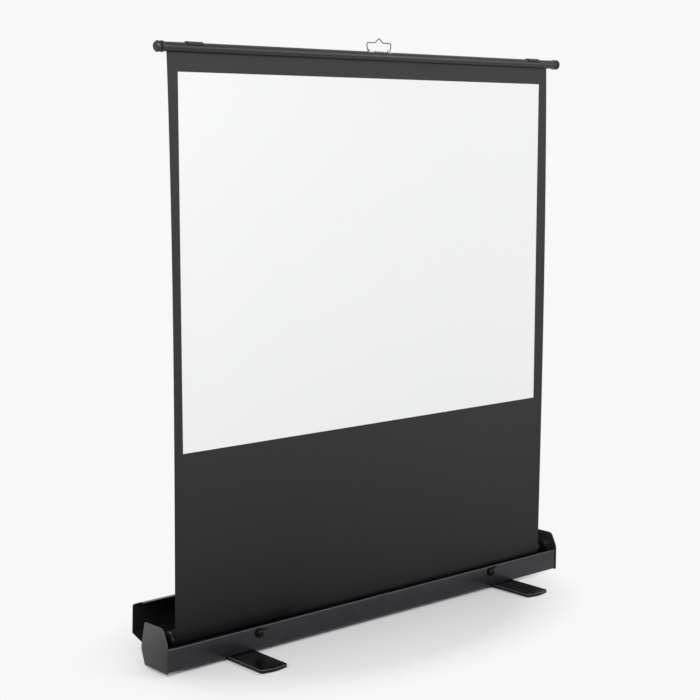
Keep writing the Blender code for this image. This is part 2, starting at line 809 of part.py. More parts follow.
def make_cloth():
    left = CLOTH_SHIFT - CLOTH_WIDTH / 2
    right = CLOTH_SHIFT + CLOTH_WIDTH / 2
    keder_z = SLAT_Z - SLAT_RADIUS + SLAT_WALL + CLEAR + KEDER_RADIUS
    cloth_top = keder_z - KEDER_RADIUS - CLEAR / 2
    front = CLOTH_Y - CLOTH_THICKNESS / 2
    block(
        "black_cloth",
        (left, front, ROLLER_Z),
        (right, CLOTH_Y + CLOTH_THICKNESS / 2, cloth_top),
        CLOTH_BLACK,
    )
    white_low = CASE_BOTTOM + WHITE_RISE
    block(
        "white_surface",
        (CLOTH_SHIFT - WHITE_WIDTH / 2, front - CLEAR - WHITE_THICKNESS, white_low),
        (CLOTH_SHIFT + WHITE_WIDTH / 2, front - CLEAR, white_low + WHITE_HEIGHT),
        SCREEN_WHITE,
    )
    # The edge rod stops short of the knobs' plugs
    reach = SLAT_LENGTH / 2 - KNOB_STUB - 0.001
    ends = (max(left, -reach), min(right, reach))
    rod("cloth_keder", KEDER_RADIUS, *ends, (CLOTH_Y, keder_z + CLEAR), "X", RUBBER, 12)


def make_slat():
    middle = SLAT_RADIUS - SLAT_WALL / 2
    gap = math.asin(SLAT_SLOT / 2 / middle)
    turn = arc((CLOTH_Y, SLAT_Z), middle, gap - math.pi / 2, 1.5 * math.pi - gap, 30)
    smooth(folded_sheet("slat_tube", turn, SLAT_WALL, SLAT_LENGTH, 0, SLAT_BLACK))
    for side, name in ((-1, "left"), (1, "right")):
        make_knob(f"slat_knob_{name}", side)
        over = math.pi / 2
        wrap = arc(
            (CLOTH_Y, SLAT_Z),
            SLAT_RADIUS + CLEAR + BUFFER_WALL / 2,
            over - BUFFER_WRAP,
            over + BUFFER_WRAP,
            10,
        )
        place = side * BUFFER_PLACE
        buffer = folded_sheet(
            f"slat_buffer_{name}", wrap, BUFFER_WALL, BUFFER_LENGTH, place, RUBBER
        )
        ease(buffer, 0.0007)


def make_knob(name, side):
    tube_bore = SLAT_RADIUS - SLAT_WALL - CLEAR
    neck = KNOB_NECK_RADIUS
    full = KNOB_RADIUS
    length = KNOB_LENGTH
    profile = [
        (0, length),
        (full * 0.62, length),
        (full * 0.88, length - 0.0010),
        (full * 0.98, length - 0.0032),
        (full, length - 0.0055),
        (full * 0.98, length - 0.0095),
        (full * 0.88, length - 0.0125),
        (neck, length - 0.0140),
        (neck, length - 0.0160),
        (full * 0.90, length - 0.0176),
        (full, length - 0.0200),
        (full, length - 0.0240),
        (full * 0.90, length - 0.0264),
        (SLAT_RADIUS, length - 0.0275),
        (SLAT_RADIUS, CLEAR),
        (tube_bore, CLEAR),
        (tube_bore, -KNOB_STUB),
        (0, -KNOB_STUB),
    ]
    knob = turned(name, profile, (side * SLAT_LENGTH / 2, CLOTH_Y, SLAT_Z), "X", CAP_BLACK)
    if side < 0:
        knob.matrix_world = knob.matrix_world @ Matrix.Rotation(math.pi, 4, "X")
    return knob


def bail_axis():
    return SLAT_TOP + CLEAR + BRACKET_SADDLE_WALL / 2 + BAIL_WIRE + LUG_WALL


def make_bail_bracket(name, lug_middle):
    """A small saddle on the slat's top with a rolled eye for one foot of the bail."""
    over = math.pi / 2
    wrap = arc(
        (CLOTH_Y, SLAT_Z),
        SLAT_RADIUS + CLEAR + BRACKET_SADDLE_WALL / 2,
        over - BRACKET_SADDLE_WRAP,
        over + BRACKET_SADDLE_WRAP,
        8,
    )
    saddle = folded_sheet(
        name, wrap, BRACKET_SADDLE_WALL, BRACKET_SADDLE_LENGTH, lug_middle, STEEL
    )
    axis = (CLOTH_Y, bail_axis())
    ends = (lug_middle - LUG_LENGTH / 2, lug_middle + LUG_LENGTH / 2)
    outer = BAIL_WIRE + CLEAR + LUG_WALL
    join(saddle, rod(name + "_lug", outer, *ends, axis, "X", None, 16))
    ends = (lug_middle - LUG_LENGTH, lug_middle + LUG_LENGTH)
    cut(saddle, rod(name + "_eye", BAIL_WIRE + CLEAR, *ends, axis, "X", None, 16))


def make_bail():
    foot_x = BAIL_WIDTH / 2 - 0.006
    lug_outer = foot_x - BAIL_WIRE - 0.002
    for name, side in (("left", -1), ("right", 1)):
        make_bail_bracket(f"bail_bracket_{name}", side * (lug_outer - LUG_LENGTH / 2))
    axis_z = bail_axis()
    shoulder = SLAT_TOP + BAIL_SHOULDER - BAIL_WIRE
    peak = SLAT_TOP + BAIL_PEAK - BAIL_WIRE
    edge = BAIL_WIDTH / 2 - BAIL_WIRE
    half = [
        (lug_outer - LUG_LENGTH, axis_z),
        (foot_x, axis_z),
        (edge, axis_z + 0.011),
        (edge, shoulder),
        (BAIL_BUMP / 2, shoulder),
        (0, peak),
    ]
    outline = half + [(-x, z) for x, z in reversed(half[:-1])]
    turns = [0, 0.002, 0.006, 0.006, 0.010, 0.006, 0.010, 0.006, 0.006, 0.002, 0]
    pivot = axis_empty("bail_axis", (0, CLOTH_Y, axis_z))
    wire = [(x, CLOTH_Y, z) for x, z in rounded(outline, turns, 3)]
    hang(bent_rod("bail", wire, BAIL_WIRE, STEEL), pivot)


# The mast


def section_size(index):
    """Width and depth of a mast tube, 0 being the outermost."""
    step = 2 * (MAST_WALL + SLIDE_CLEAR)
    return MAST_WIDTH - index * step, MAST_DEPTH - index * step


def section_bottom(index):
    return MAST_BOTTOM + index * MAST_STEP


def make_tube(name, index, bottom, top):
    width, depth = section_size(index)
    outer = rectangle(width, depth, MAST_Y, MAST_CORNER)
    inner = rectangle(width, depth, MAST_Y, MAST_CORNER, -MAST_WALL)
    return plate(name, [outer, inner], bottom, top, ALUMINIUM)


def make_collar(name, index, side):
    """The clamp collar round a tube's top, with ears for its lever on one side."""
    width, depth = section_size(index)
    inner_width, inner_depth = section_size(index + 1)
    top = section_bottom(index) + MAST_SECTION
    low = top - COLLAR_SKIRT
    outer = rectangle(width, depth, MAST_Y, MAST_CORNER, COLLAR_WALL + SLIDE_CLEAR)
    collar = plate(name, [outer], low, top + COLLAR_LIP, CAP_BLACK)
    hub_x = side * (width / 2 + SLIDE_CLEAR + COLLAR_WALL + CLEAR + LEVER_HUB)
    hub_z = top - COLLAR_SKIRT / 2
    for ear, way in (("front", -1), ("rear", 1)):
        inner_y = MAST_Y + way * (LEVER_WIDTH / 2 + CLEAR)
        outer_y = MAST_Y + way * (LEVER_WIDTH / 2 + CLEAR + EAR_THICKNESS)
        inner_x = side * (width / 2 + COLLAR_WALL / 2)
        ear_outline = [
            (inner_x, hub_z - LEVER_HUB),
            (hub_x, hub_z - LEVER_HUB),
            (hub_x + side * LEVER_HUB, hub_z),
            (hub_x, hub_z + LEVER_HUB),
            (inner_x, hub_z + LEVER_HUB),
        ]
        mesh = curve_mesh(f"{name}_{ear}_ear", [ear_outline], True, extrude=EAR_THICKNESS / 2)
        lug = add(f"{name}_{ear}_ear", mesh, None)
        lug.rotation_euler.x = math.pi / 2
        lug.location.y = (inner_y + outer_y) / 2
        join(collar, lug)
    socket = rectangle(width, depth, MAST_Y, MAST_CORNER, SLIDE_CLEAR)
    cut(collar, plate(name + "_socket", [socket], low - COLLAR_SKIRT, top + CLEAR, None))
    throat = rectangle(inner_width, inner_depth, MAST_Y, MAST_CORNER, SLIDE_CLEAR)
    cut(collar, plate(name + "_throat", [throat], low, top + 2 * COLLAR_LIP, None))
    reach = LEVER_WIDTH + 2 * EAR_THICKNESS
    cut(
        collar,
        rod(
            name + "_pin_hole",
            LEVER_PIN + CLEAR,
            MAST_Y - reach,
            MAST_Y + reach,
            (hub_x, hub_z),
            "Y",
            None,
            16,
        ),
    )
    make_lever(name.replace("collar", "lever"), hub_x, hub_z, side)
    return collar


def make_lever(name, hub_x, hub_z, side):
    """The cam lever between the collar's ears: a round hub, its pin and a finger tab that hangs down."""
    half = LEVER_WIDTH / 2
    pivot = axis_empty(name + "_axis", (hub_x, MAST_Y, hub_z))
    lever = rod(name, LEVER_HUB, MAST_Y - half, MAST_Y + half, (hub_x, hub_z), "Y", FOOT_BLACK, 20)
    tab_x = hub_x + side * (LEVER_HUB - LEVER_THICKNESS / 2 - 0.0004)
    outline = [
        (tab_x - LEVER_THICKNESS / 2, hub_z),
        (tab_x - LEVER_THICKNESS / 2, hub_z - LEVER_LENGTH),
        (tab_x + side * 0.004 + LEVER_THICKNESS / 2, hub_z - LEVER_LENGTH),
        (tab_x + LEVER_THICKNESS / 2, hub_z - LEVER_LENGTH * 0.7),
        (tab_x + LEVER_THICKNESS / 2, hub_z),
    ]
    if side < 0:
        outline[1] = (tab_x - 0.004 - LEVER_THICKNESS / 2, hub_z - LEVER_LENGTH)
        outline[2] = (tab_x + LEVER_THICKNESS / 2, hub_z - LEVER_LENGTH)
        outline.insert(1, (tab_x - LEVER_THICKNESS / 2, hub_z - LEVER_LENGTH * 0.7))
        outline.pop(4)
    mesh = curve_mesh(name + "_tab", [outline], True, extrude=half - 0.0002)
    tab = add(name + "_tab", mesh, None)
    tab.rotation_euler.x = math.pi / 2
    tab.location.y = MAST_Y
    hang(tab, pivot)
    join(lever, tab)
    reach = half + CLEAR + EAR_THICKNESS
    pin = rod(
        name + "_pin", LEVER_PIN, MAST_Y - reach, MAST_Y + reach, (hub_x, hub_z), "Y", None, 12
    )
    hang(pin, pivot)
    join(lever, pin)
    return hang(lever, pivot)


def make_socket():
    """The socket that the mast stands in: a sleeve on a foot plate, fixed to the case's floor."""
    plate_low = CASE_BOTTOM + CASE_WALL + CLEAR
    reach = MAST_DEPTH / 2 + SLIDE_CLEAR + SOCKET_WALL + 0.003
    base = [
        (SOCKET_PLATE_WIDTH / 2, MAST_Y - reach),
        (SOCKET_PLATE_WIDTH / 2, MAST_Y + reach),
        (-SOCKET_PLATE_WIDTH / 2, MAST_Y + reach),
        (-SOCKET_PLATE_WIDTH / 2, MAST_Y - reach),
    ]
    socket = plate("mast_socket", [rounded(base, 0.004, 3, True)], plate_low, SOCKET_FLOOR, CAP_BLACK)
    top = SOCKET_FLOOR + SOCKET_HEIGHT
    grow = SLIDE_CLEAR + SOCKET_WALL
    sleeve = rectangle(MAST_WIDTH, MAST_DEPTH, MAST_Y, MAST_CORNER, grow)
    join(socket, plate("socket_sleeve", [sleeve], SOCKET_FLOOR - SOCKET_PLATE / 2, top, None))
    hole = rectangle(MAST_WIDTH, MAST_DEPTH, MAST_Y, MAST_CORNER, SLIDE_CLEAR)
    cut(socket, plate("socket_hole", [hole], SOCKET_FLOOR, top + SOCKET_HEIGHT, None))
    screw_z = SOCKET_FLOOR + SOCKET_HEIGHT * 0.6
    wall_out = MAST_WIDTH / 2 + grow
    place = (MAST_Y, screw_z)
    cut(
        socket,
        rod(
            "socket_screw_hole",
            SOCKET_SCREW_RADIUS + CLEAR,
            MAST_WIDTH / 4,
            wall_out + SOCKET_WALL,
            place,
            "X",
            None,
            16,
        ),
    )
    tip = MAST_WIDTH / 2 + CLEAR
    knob = rod(
        "socket_screw",
        SOCKET_KNOB_RADIUS,
        wall_out + CLEAR,
        wall_out + CLEAR + SOCKET_KNOB_LENGTH,
        place,
        "X",
        FOOT_BLACK,
        14,
    )
    ease(knob, 0.001)
    shank_end = wall_out + SOCKET_KNOB_LENGTH / 2
    join(knob, rod("screw_shank", SOCKET_SCREW_RADIUS, tip, shank_end, place, "X", None, 12))


def make_head(top):
    """The mast's head: a plug in the top tube, an arm and a cradle behind the slat."""
    radius = SLAT_RADIUS + CLEAR + CRADLE_WALL / 2
    wrap = arc((CLOTH_Y, SLAT_Z), radius, CRADLE_LOW, CRADLE_HIGH, 16)
    head = folded_sheet("mast_head", wrap, CRADLE_WALL, CRADLE_WIDTH, 0, ALUMINIUM)
    arm_top = SLAT_Z + ARM_THICKNESS / 2
    width, depth = section_size(2)
    arm = block(
        "head_arm",
        (-width / 2, CLOTH_Y + SLAT_RADIUS + CRADLE_WALL / 2, arm_top - ARM_THICKNESS),
        (width / 2, MAST_Y + depth / 2, arm_top),
        None,
        0.001,
    )
    join(head, arm)
    grow = -MAST_WALL - CLEAR
    plug = rectangle(width, depth, MAST_Y, MAST_CORNER, grow)
    bottom = top - 0.030
    join(head, plate("head_plug", [plug], bottom, arm_top - ARM_THICKNESS / 2, None))
    return head


def make_mast():
    make_socket()
    make_tube("mast_lower", 0, section_bottom(0), section_bottom(0) + MAST_SECTION)
    make_tube("mast_middle", 1, section_bottom(1), section_bottom(1) + MAST_SECTION)
    top = SLAT_Z - ARM_THICKNESS / 2 - CLEAR
    make_tube("mast_top", 2, section_bottom(2), top)
    make_collar("mast_collar_lower", 0, 1)
    make_collar("mast_collar_upper", 1, -1)
    make_head(top)


# Feet


def foot_outline():
    """A bar with square-ish sides and gently bowed tips, in X and Y."""
    half_width = FOOT_WIDTH / 2
    straight = FOOT_LENGTH / 2 - FOOT_TIP_BOW
    corners = [
        (half_width, -straight),
        (half_width, straight),
        (0, straight + 1.4 * FOOT_TIP_BOW),
        (-half_width, straight),
        (-half_width, -straight),
        (0, -straight - 1.4 * FOOT_TIP_BOW),
    ]
    return rounded(corners, [0.010, 0.010, 0.9, 0.010, 0.010, 0.9], 4, True)


def make_foot(name, side):
    place = side * FOOT_PLACE
    pivot = axis_empty(name + "_axis", (place, 0, 0))
    top = FOOT_HEIGHT - CLEAR
    low = PAD_THICKNESS + CLEAR
    foot = plate(name, [foot_outline()], low, top, FOOT_BLACK)
    foot.location.x = place
    ease_end(foot, FOOT_CHAMFER, 1, 1)
    hang(foot, pivot)
    hole = rod(name + "_hole", PIVOT_RADIUS + CLEAR, 0, 2 * FOOT_HEIGHT, (place, 0), "Z", None)
    hang(hole, pivot)
    cut(foot, hole)
    recess_top = low + CLEAR + PIVOT_HEAD_HEIGHT + CLEAR
    recess = rod(name + "_recess", PIVOT_HEAD_RADIUS + CLEAR, -low, recess_top, (place, 0), "Z", None)
    hang(recess, pivot)
    cut(foot, recess)
    for end, way in (("front", -1), ("rear", 1)):
        outer = way * (FOOT_LENGTH / 2 - FOOT_TIP_BOW - PAD_MARGIN)
        inner = outer - way * PAD_LENGTH
        half = FOOT_WIDTH / 2 - PAD_MARGIN
        pad = block(
            f"{name}_pad_{end}",
            (place - half, min(outer, inner), 0),
            (place + half, max(outer, inner), PAD_THICKNESS),
            RUBBER,
        )
        hang(pad, pivot)
    make_pivot(name.replace("foot", "foot_bolt"), name.replace("foot", "foot_nut"), place, low)


def make_pivot(bolt_name, nut_name, place, low):
    """The shouldered bolt that the foot swings on, and the lock nut inside the case."""
    head_low = low + CLEAR
    nut_low = CASE_BOTTOM + CASE_WALL + CLEAR
    shank_top = nut_low + NUT_HEIGHT + 0.003
    head_high = head_low + PIVOT_HEAD_HEIGHT
    profile = [
        (0, shank_top),
        (PIVOT_RADIUS * 0.8, shank_top),
        (PIVOT_RADIUS, shank_top - 0.001),
        (PIVOT_RADIUS, head_high),
        (PIVOT_HEAD_RADIUS, head_high),
        (PIVOT_HEAD_RADIUS, head_low),
        (0, head_low),
    ]
    turned(bolt_name, profile, (place, 0, 0), "Z", STEEL, 20)
    nut = rod(nut_name, NUT_RADIUS, nut_low, nut_low + NUT_HEIGHT, (place, 0), "Z", STEEL, 6)
    bore = rod(
        nut_name + "_bore",
        PIVOT_RADIUS + CLEAR,
        nut_low - NUT_HEIGHT,
        nut_low + 2 * NUT_HEIGHT,
        (place, 0),
        "Z",
        None,
        20,
    )
    cut(nut, bore)


# Latches


def make_latch(side_name, side, rest):
    x = side * LATCH_PLACE
    z = CASE_BOTTOM + LATCH_RISE
    disc_back = CASE_FRONT - CLEAR
    disc_front = disc_back - LATCH_DISC_THICKNESS
    lever_back = disc_front - CLEAR
    lever_front = lever_back - LATCH_LEVER_THICKNESS
    cap_back = lever_front - CLEAR
    profile = [
        (0, -cap_back + LATCH_CAP_THICKNESS),
        (LATCH_CAP_RADIUS * 0.8, -cap_back + LATCH_CAP_THICKNESS),
        (LATCH_CAP_RADIUS, -cap_back + LATCH_CAP_THICKNESS * 0.5),
        (LATCH_CAP_RADIUS, -cap_back),
        (LATCH_POST_RADIUS, -cap_back),
        (LATCH_POST_RADIUS, -disc_front),
        (LATCH_DISC_RADIUS * 0.9, -disc_front),
        (LATCH_DISC_RADIUS, -disc_front - 0.001),
        (LATCH_DISC_RADIUS, -disc_back),
        (0, -disc_back),
    ]
    base = turned(f"latch_base_{side_name}", profile, (x, 0, z), "Z", CAP_BLACK, 24)
    base.matrix_world = Matrix.Translation((x, 0, z)) @ Matrix.Rotation(math.pi / 2, 4, "X")
    hub = LATCH_LEVER_WIDTH / 2 + 0.0025
    tip = LATCH_LEVER_TIP / 2
    reach = LATCH_LEVER_LENGTH
    spread = math.acos(0.45)
    outline = arc((0, 0), hub, spread, 2 * math.pi - spread, 16)
    outline += arc((reach - tip, 0), tip, -math.pi / 2, math.pi / 2, 6)
    hole = arc((0, 0), LATCH_POST_RADIUS + CLEAR, 0, 2 * math.pi, 20)[:-1]
    mesh = curve_mesh(
        f"latch_lever_{side_name}", [outline, hole], True, extrude=LATCH_LEVER_THICKNESS / 2
    )
    lever = add(f"latch_lever_{side_name}", mesh, FOOT_BLACK)
    lever.location = (x, (lever_back + lever_front) / 2, z)
    lever.rotation_euler = (math.pi / 2, -rest, 0)
    ease(lever, 0.0006)


def build():
    clear_scene()
    make_case()
    make_end_cap("end_cap_left", -1)
    make_end_cap("end_cap_right", 1)
    make_roller()
    make_roller_ends()
    make_cloth()
    make_slat()
    make_bail()
    make_mast()
    make_foot("foot_left", -1)
    make_foot("foot_right", 1)
    make_latch("left", -1, LATCH_REST_LEFT)
    make_latch("right", 1, LATCH_REST_RIGHT)
    lid_hinge = axis_empty("lid_hinge_axis", (0, HINGE_Y, HINGE_Z))
    make_lid(lid_hinge)
    for side, name in ((-1, "left"), (1, "right")):
        make_keeper(f"lid_keeper_{name}", side * LATCH_PLACE, lid_hinge)
        make_bracket(f"handle_bracket_{name}", side, lid_hinge)
    make_handle(lid_hinge)
    lid_hinge.rotation_euler.x = -LID_OPEN_ANGLE


build()
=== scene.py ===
import json
import math

import bmesh
import bpy
from mathutils import Matrix, Vector

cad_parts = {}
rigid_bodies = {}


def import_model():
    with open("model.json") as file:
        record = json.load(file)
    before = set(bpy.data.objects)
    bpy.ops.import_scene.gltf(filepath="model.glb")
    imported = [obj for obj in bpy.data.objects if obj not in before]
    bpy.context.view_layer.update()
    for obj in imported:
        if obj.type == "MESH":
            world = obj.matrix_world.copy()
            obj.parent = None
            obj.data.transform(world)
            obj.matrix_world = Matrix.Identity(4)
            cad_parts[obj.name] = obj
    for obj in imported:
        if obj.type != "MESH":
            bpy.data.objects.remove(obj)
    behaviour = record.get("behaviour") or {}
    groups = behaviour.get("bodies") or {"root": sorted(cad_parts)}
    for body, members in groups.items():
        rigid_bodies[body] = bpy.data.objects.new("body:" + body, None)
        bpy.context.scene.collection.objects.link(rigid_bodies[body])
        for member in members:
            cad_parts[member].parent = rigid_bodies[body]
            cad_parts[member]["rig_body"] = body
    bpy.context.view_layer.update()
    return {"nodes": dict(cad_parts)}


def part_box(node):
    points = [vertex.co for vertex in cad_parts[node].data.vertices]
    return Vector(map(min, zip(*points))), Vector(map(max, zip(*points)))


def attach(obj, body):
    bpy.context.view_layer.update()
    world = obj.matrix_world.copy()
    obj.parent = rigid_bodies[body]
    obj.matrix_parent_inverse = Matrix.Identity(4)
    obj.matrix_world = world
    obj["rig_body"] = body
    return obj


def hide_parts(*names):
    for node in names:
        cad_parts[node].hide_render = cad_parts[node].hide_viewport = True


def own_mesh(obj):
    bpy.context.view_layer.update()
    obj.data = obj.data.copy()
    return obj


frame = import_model()
solids = frame["nodes"]

# The view: a standing photographer, five metres off the left front of the screen, with a
# moderate telephoto lens turned a little down.
EYE = Vector((-3.5028, -3.8773, 1.6502))
ACROSS = Vector((0.75158, -0.65964, 0.00083))
DOWNWARD = Vector((-0.08892, -0.10256, -0.99075))
AHEAD = Vector((0.65362, 0.74455, -0.13574))
LENS_MM = 79.39
SENSOR_MM = 36.0
FAR_CLIP = 200.0

camera = bpy.data.objects.new("camera", bpy.data.cameras.new("camera"))
bpy.context.scene.collection.objects.link(camera)
camera.data.sensor_width = SENSOR_MM
camera.data.lens = LENS_MM
camera.data.clip_end = FAR_CLIP
turn = Matrix((ACROSS, -DOWNWARD, -AHEAD)).transposed()
camera.matrix_world = Matrix.Translation(EYE) @ turn.to_quaternion().to_matrix().to_4x4()
bpy.context.scene.camera = camera
bpy.context.scene.view_settings.view_transform = "Standard"


# The studio: a pale seamless floor, lit by the lamps inside a painted shadow pool round the case
# and glowing evenly outside it, so that it fades into an even white backdrop; one large softbox
# high on the left, and weaker ones on the right and behind.
def plug(slot, value):
    """Links a flow to a socket, or writes a number, colour or vector on it."""
    if isinstance(value, Flow):
        slot.id_data.links.new(value.socket, slot)
    elif isinstance(value, (tuple, list)) and len(value) == 3 and slot.type == "RGBA":
        slot.default_value = (*value, 1.0)
    else:
        slot.default_value = value


class Flow:
    """A shader socket that Python's own operators lay Math nodes on."""

    def __init__(self, socket):
        self.socket = socket

    def maths(self, operation, *values):
        node = self.socket.id_data.nodes.new("ShaderNodeMath")
        node.operation = operation
        for slot, value in zip(node.inputs, values):
            plug(slot, value)
        return Flow(node.outputs[0])

    def __add__(self, other):
        return self.maths("ADD", self, other)

    def __sub__(self, other):
        return self.maths("SUBTRACT", self, other)

    def __rsub__(self, other):
        return self.maths("SUBTRACT", other, self)

    def __mul__(self, other):
        return self.maths("MULTIPLY", self, other)

    def __truediv__(self, other):
        return self.maths("DIVIDE", self, other)

    def __pow__(self, other):
        return self.maths("POWER", self, other)

    def clipped(self):
        return self.maths("MINIMUM", self.maths("MAXIMUM", self, 0.0), 1.0)

    __radd__ = __add__
    __rmul__ = __mul__


class Bench:
    """A node tree with one method that lays any node on it."""

    def __init__(self, tree):
        self.tree = tree

    def lay(self, kind, settings=None, out=None, **sockets):
        """A node of that type: its settings first, then what goes in its sockets."""
        node = self.tree.nodes.new("ShaderNode" + kind)
        for name, value in (settings or {}).items():
            setattr(node, name, value)
        for name, value in sockets.items():
            wanted = name.replace("_", " ")
            plug(next(s for s in node.inputs if s.enabled and s.name == wanted), value)
        live = [socket for socket in node.outputs if socket.enabled]
        return Flow(next(s for s in live if s.name == out) if out else live[0])

    def mix(self, share, first, second):
        return self.lay("Mix", {"data_type": "RGBA"}, Factor=share, A=first, B=second)


FLOOR_SHADE = 0.92
BACKDROP_SHADE = 0.94
FILL_LIGHT = 0.62
FLOOR_REACH = 60.0
# The painted shadow pool: an ellipse round the case, shifted and squeezed. Inside it the floor
# takes the lamps' light and real shadows; outside it the floor glows evenly.
SHADOW_POOL_SHIFT = 0.07
SHADOW_POOL_SQUEEZE = 0.6
SHADOW_POOL_EDGE = 0.42
SHADOW_POOL_BLUR = 0.20

stage_finish = bpy.data.materials.new("seamless_paper")
stage_finish.use_nodes = True
paper = Bench(stage_finish.node_tree)
paper.tree.nodes.remove(paper.tree.nodes["Principled BSDF"])
spot = paper.lay("TexCoord", out="Object")
drawn_in = paper.lay(
    "Mapping", Vector=spot, Location=(SHADOW_POOL_SHIFT, 0.0, 0.0), Scale=(SHADOW_POOL_SQUEEZE, 1.0, 1.0)
)
away = paper.lay("VectorMath", {"operation": "LENGTH"}, out="Value", Vector=drawn_in)
# Painted shadow pool: 0 inside the ellipse, where the floor is lit diffuse, rising to 1 where it
# glows.
out_of_shadow_pool = ((away - SHADOW_POOL_EDGE) / SHADOW_POOL_BLUR).clipped()
lit = paper.lay("BsdfDiffuse", Color=(FLOOR_SHADE,) * 3)
glow = paper.lay("Emission", Color=(BACKDROP_SHADE,) * 3, Strength=1.0)
mixed = paper.lay("MixShader", Fac=out_of_shadow_pool)
plug(mixed.socket.node.inputs[1], lit)
plug(mixed.socket.node.inputs[2], glow)
plug(paper.tree.nodes["Material Output"].inputs["Surface"], mixed)

floor_mesh = bpy.data.meshes.new("floor")
quarters = ((-1, -1), (1, -1), (1, 1), (-1, 1))
floor_mesh.from_pydata([(x * FLOOR_REACH, y * FLOOR_REACH, 0) for x, y in quarters], [],
                       [(0, 1, 2, 3)])
floor_mesh.materials.append(stage_finish)
floor = bpy.data.objects.new("floor", floor_mesh)
bpy.context.scene.collection.objects.link(floor)

world = bpy.data.worlds.new("studio")
bpy.context.scene.world = world
world.use_nodes = True
room = Bench(world.node_tree)
room.tree.nodes.remove(room.tree.nodes["Background"])
rays = room.lay("LightPath", out="Is Camera Ray")
ray_node = rays.socket.node
seen = (
    rays + Flow(ray_node.outputs["Is Glossy Ray"]) + Flow(ray_node.outputs["Is Transmission Ray"])
).clipped()
backdrop = room.lay("Background", Color=(BACKDROP_SHADE,) * 3, Strength=1.0)
fill = room.lay("Background", Color=(1.0, 1.0, 1.0), Strength=FILL_LIGHT)
around = room.lay("MixShader", Fac=seen)
plug(around.socket.node.inputs[1], fill)
plug(around.socket.node.inputs[2], backdrop)
plug(room.tree.nodes["World Output"].inputs["Surface"], around)


def softbox(name, place, aim, width, height, power):
    lamp = bpy.data.objects.new(name, bpy.data.lights.new(name, "AREA"))
    bpy.context.scene.collection.objects.link(lamp)
    lamp.data.shape = "RECTANGLE"
    lamp.data.size, lamp.data.size_y = width, height
    lamp.data.energy = power
    lamp.location = place
    lamp.rotation_euler = (Vector(aim) - Vector(place)).to_track_quat("-Z", "Y").to_euler()


softbox("softbox_left", place=(-3.7, -2.1, 3.3), aim=(-0.2, 0, 0.8),
        width=2.4, height=2.0, power=95)
softbox("softbox_right", place=(2.9, -3.6, 2.6), aim=(0.2, 0, 0.9),
        width=1.8, height=1.8, power=50)
softbox("softbox_back", place=(0.6, 3.2, 3.2), aim=(0, 0, 0.8),
        width=2.6, height=1.6, power=40)


# The trough: one aluminium extrusion 1.8 m long, 119 mm deep, with a hinge bead along its rear
# edge and two screw ports, powder coated satin black. Fine die lines run along it.
CASE_COLOUR = (0.0030, 0.0029, 0.0075)
CASE_DUST = (0.050, 0.050, 0.052)
# The case's edge colour is a painted highlight along its sloping edges.
CASE_PAINTED_HIGHLIGHT = (0.11, 0.11, 0.115)
CASE_GLOSS = 0.29
CASE_EDGE = 0.0012
PEEL_SCALE = 900.0
DIE_LINES = (760.0, 1.6)  # noise scales across and along the extrusion
SCUFFS = (420.0, 14.0)
WELD_REACH = 0.00001
FLAT_WITHIN = math.radians(0.5)


class Finish(Bench):
    """A material built round one Principled shader, in Object coordinates."""

    def __init__(self, name, colour, roughness, metallic=0.0, specular=0.5):
        self.material = bpy.data.materials.new(name)
        self.material.use_nodes = True
        super().__init__(self.material.node_tree)
        self.shader = self.tree.nodes["Principled BSDF"]
        self.put(Metallic=metallic, Specular_IOR_Level=specular)
        self.put(Base_Color=colour, Roughness=roughness)
        self.place = self.lay("TexCoord", out="Object")
        self.relief = None

    def put(self, **sockets):
        for name, value in sockets.items():
            plug(self.shader.inputs[name.replace("_", " ")], value)

    def stretched(self, x, y, z):
        return self.lay("Mapping", Vector=self.place, Scale=(x, y, z))

    def speckle(self, scale, detail=2.0, place=None, **more):
        place = place or self.place
        return self.lay("TexNoise", out="Fac", Vector=place, Scale=scale, Detail=detail, **more)

    def streaks(self, along, across_scale, along_scale, detail):
        """Speckle with one scale along an axis and another across it."""
        scales = [across_scale] * 3
        scales[along] = along_scale
        return self.speckle(1.0, detail, self.stretched(*scales))

    def within(self, value, low, high):
        """0 below low, 1 above high and straight in between."""
        return self.lay("MapRange", Value=value, From_Min=low, From_Max=high)

    def raised(self, height, depth, strength=1.0):
        """Lays another bump, depth in metres, over those that are there."""
        under = {"Normal": self.relief} if self.relief else {}
        self.relief = self.lay("Bump", Height=height, Distance=depth, Strength=strength, **under)
        self.put(Normal=self.relief)


def powder_coat(name, colour, dust, gloss, along=0, peel=0.00005, edges=None, shine=0.44):
    """Baked powder: orange peel, faint die lines along one axis, handling haze and a little dust.

    A colour for edges is a painted highlight on faces that slope between flat and upright, where
    edges and chamfers catch the lamps."""
    coat = Finish(name, colour, gloss, specular=shine)
    die_lines = coat.streaks(along, *DIE_LINES, 1.0)
    haze = coat.speckle(7.0, 4.0, Roughness=0.62)
    orange_peel = coat.speckle(PEEL_SCALE, 1.0)
    scuffs = coat.within(coat.streaks(along, *SCUFFS, 3.0), 0.70, 0.76)
    settled = coat.within(coat.speckle(38.0, 5.0), 0.52, 0.78) * 0.18
    tone = coat.mix((settled + scuffs * 0.22).clipped(), colour, dust)
    if edges:
        # Painted highlight: the edge colour on faces that slope between flat and upright.
        slope = coat.lay("SeparateXYZ", out="Z", Vector=coat.lay("NewGeometry", out="Normal"))
        painted_highlight_mask = coat.within(slope, 0.30, 0.55) * (1.0 - coat.within(slope, 0.80, 0.94))
        tone = coat.mix(painted_highlight_mask * 0.85, tone, edges)
    coat.put(Base_Color=tone)
    rough = gloss + (haze - 0.5) * 0.20 + (die_lines - 0.5) * 0.10 + scuffs * 0.10
    coat.put(Roughness=rough.clipped())
    coat.raised(orange_peel, peel, 0.55)
    coat.raised(die_lines, peel * 0.5, 0.35)
    return coat.material


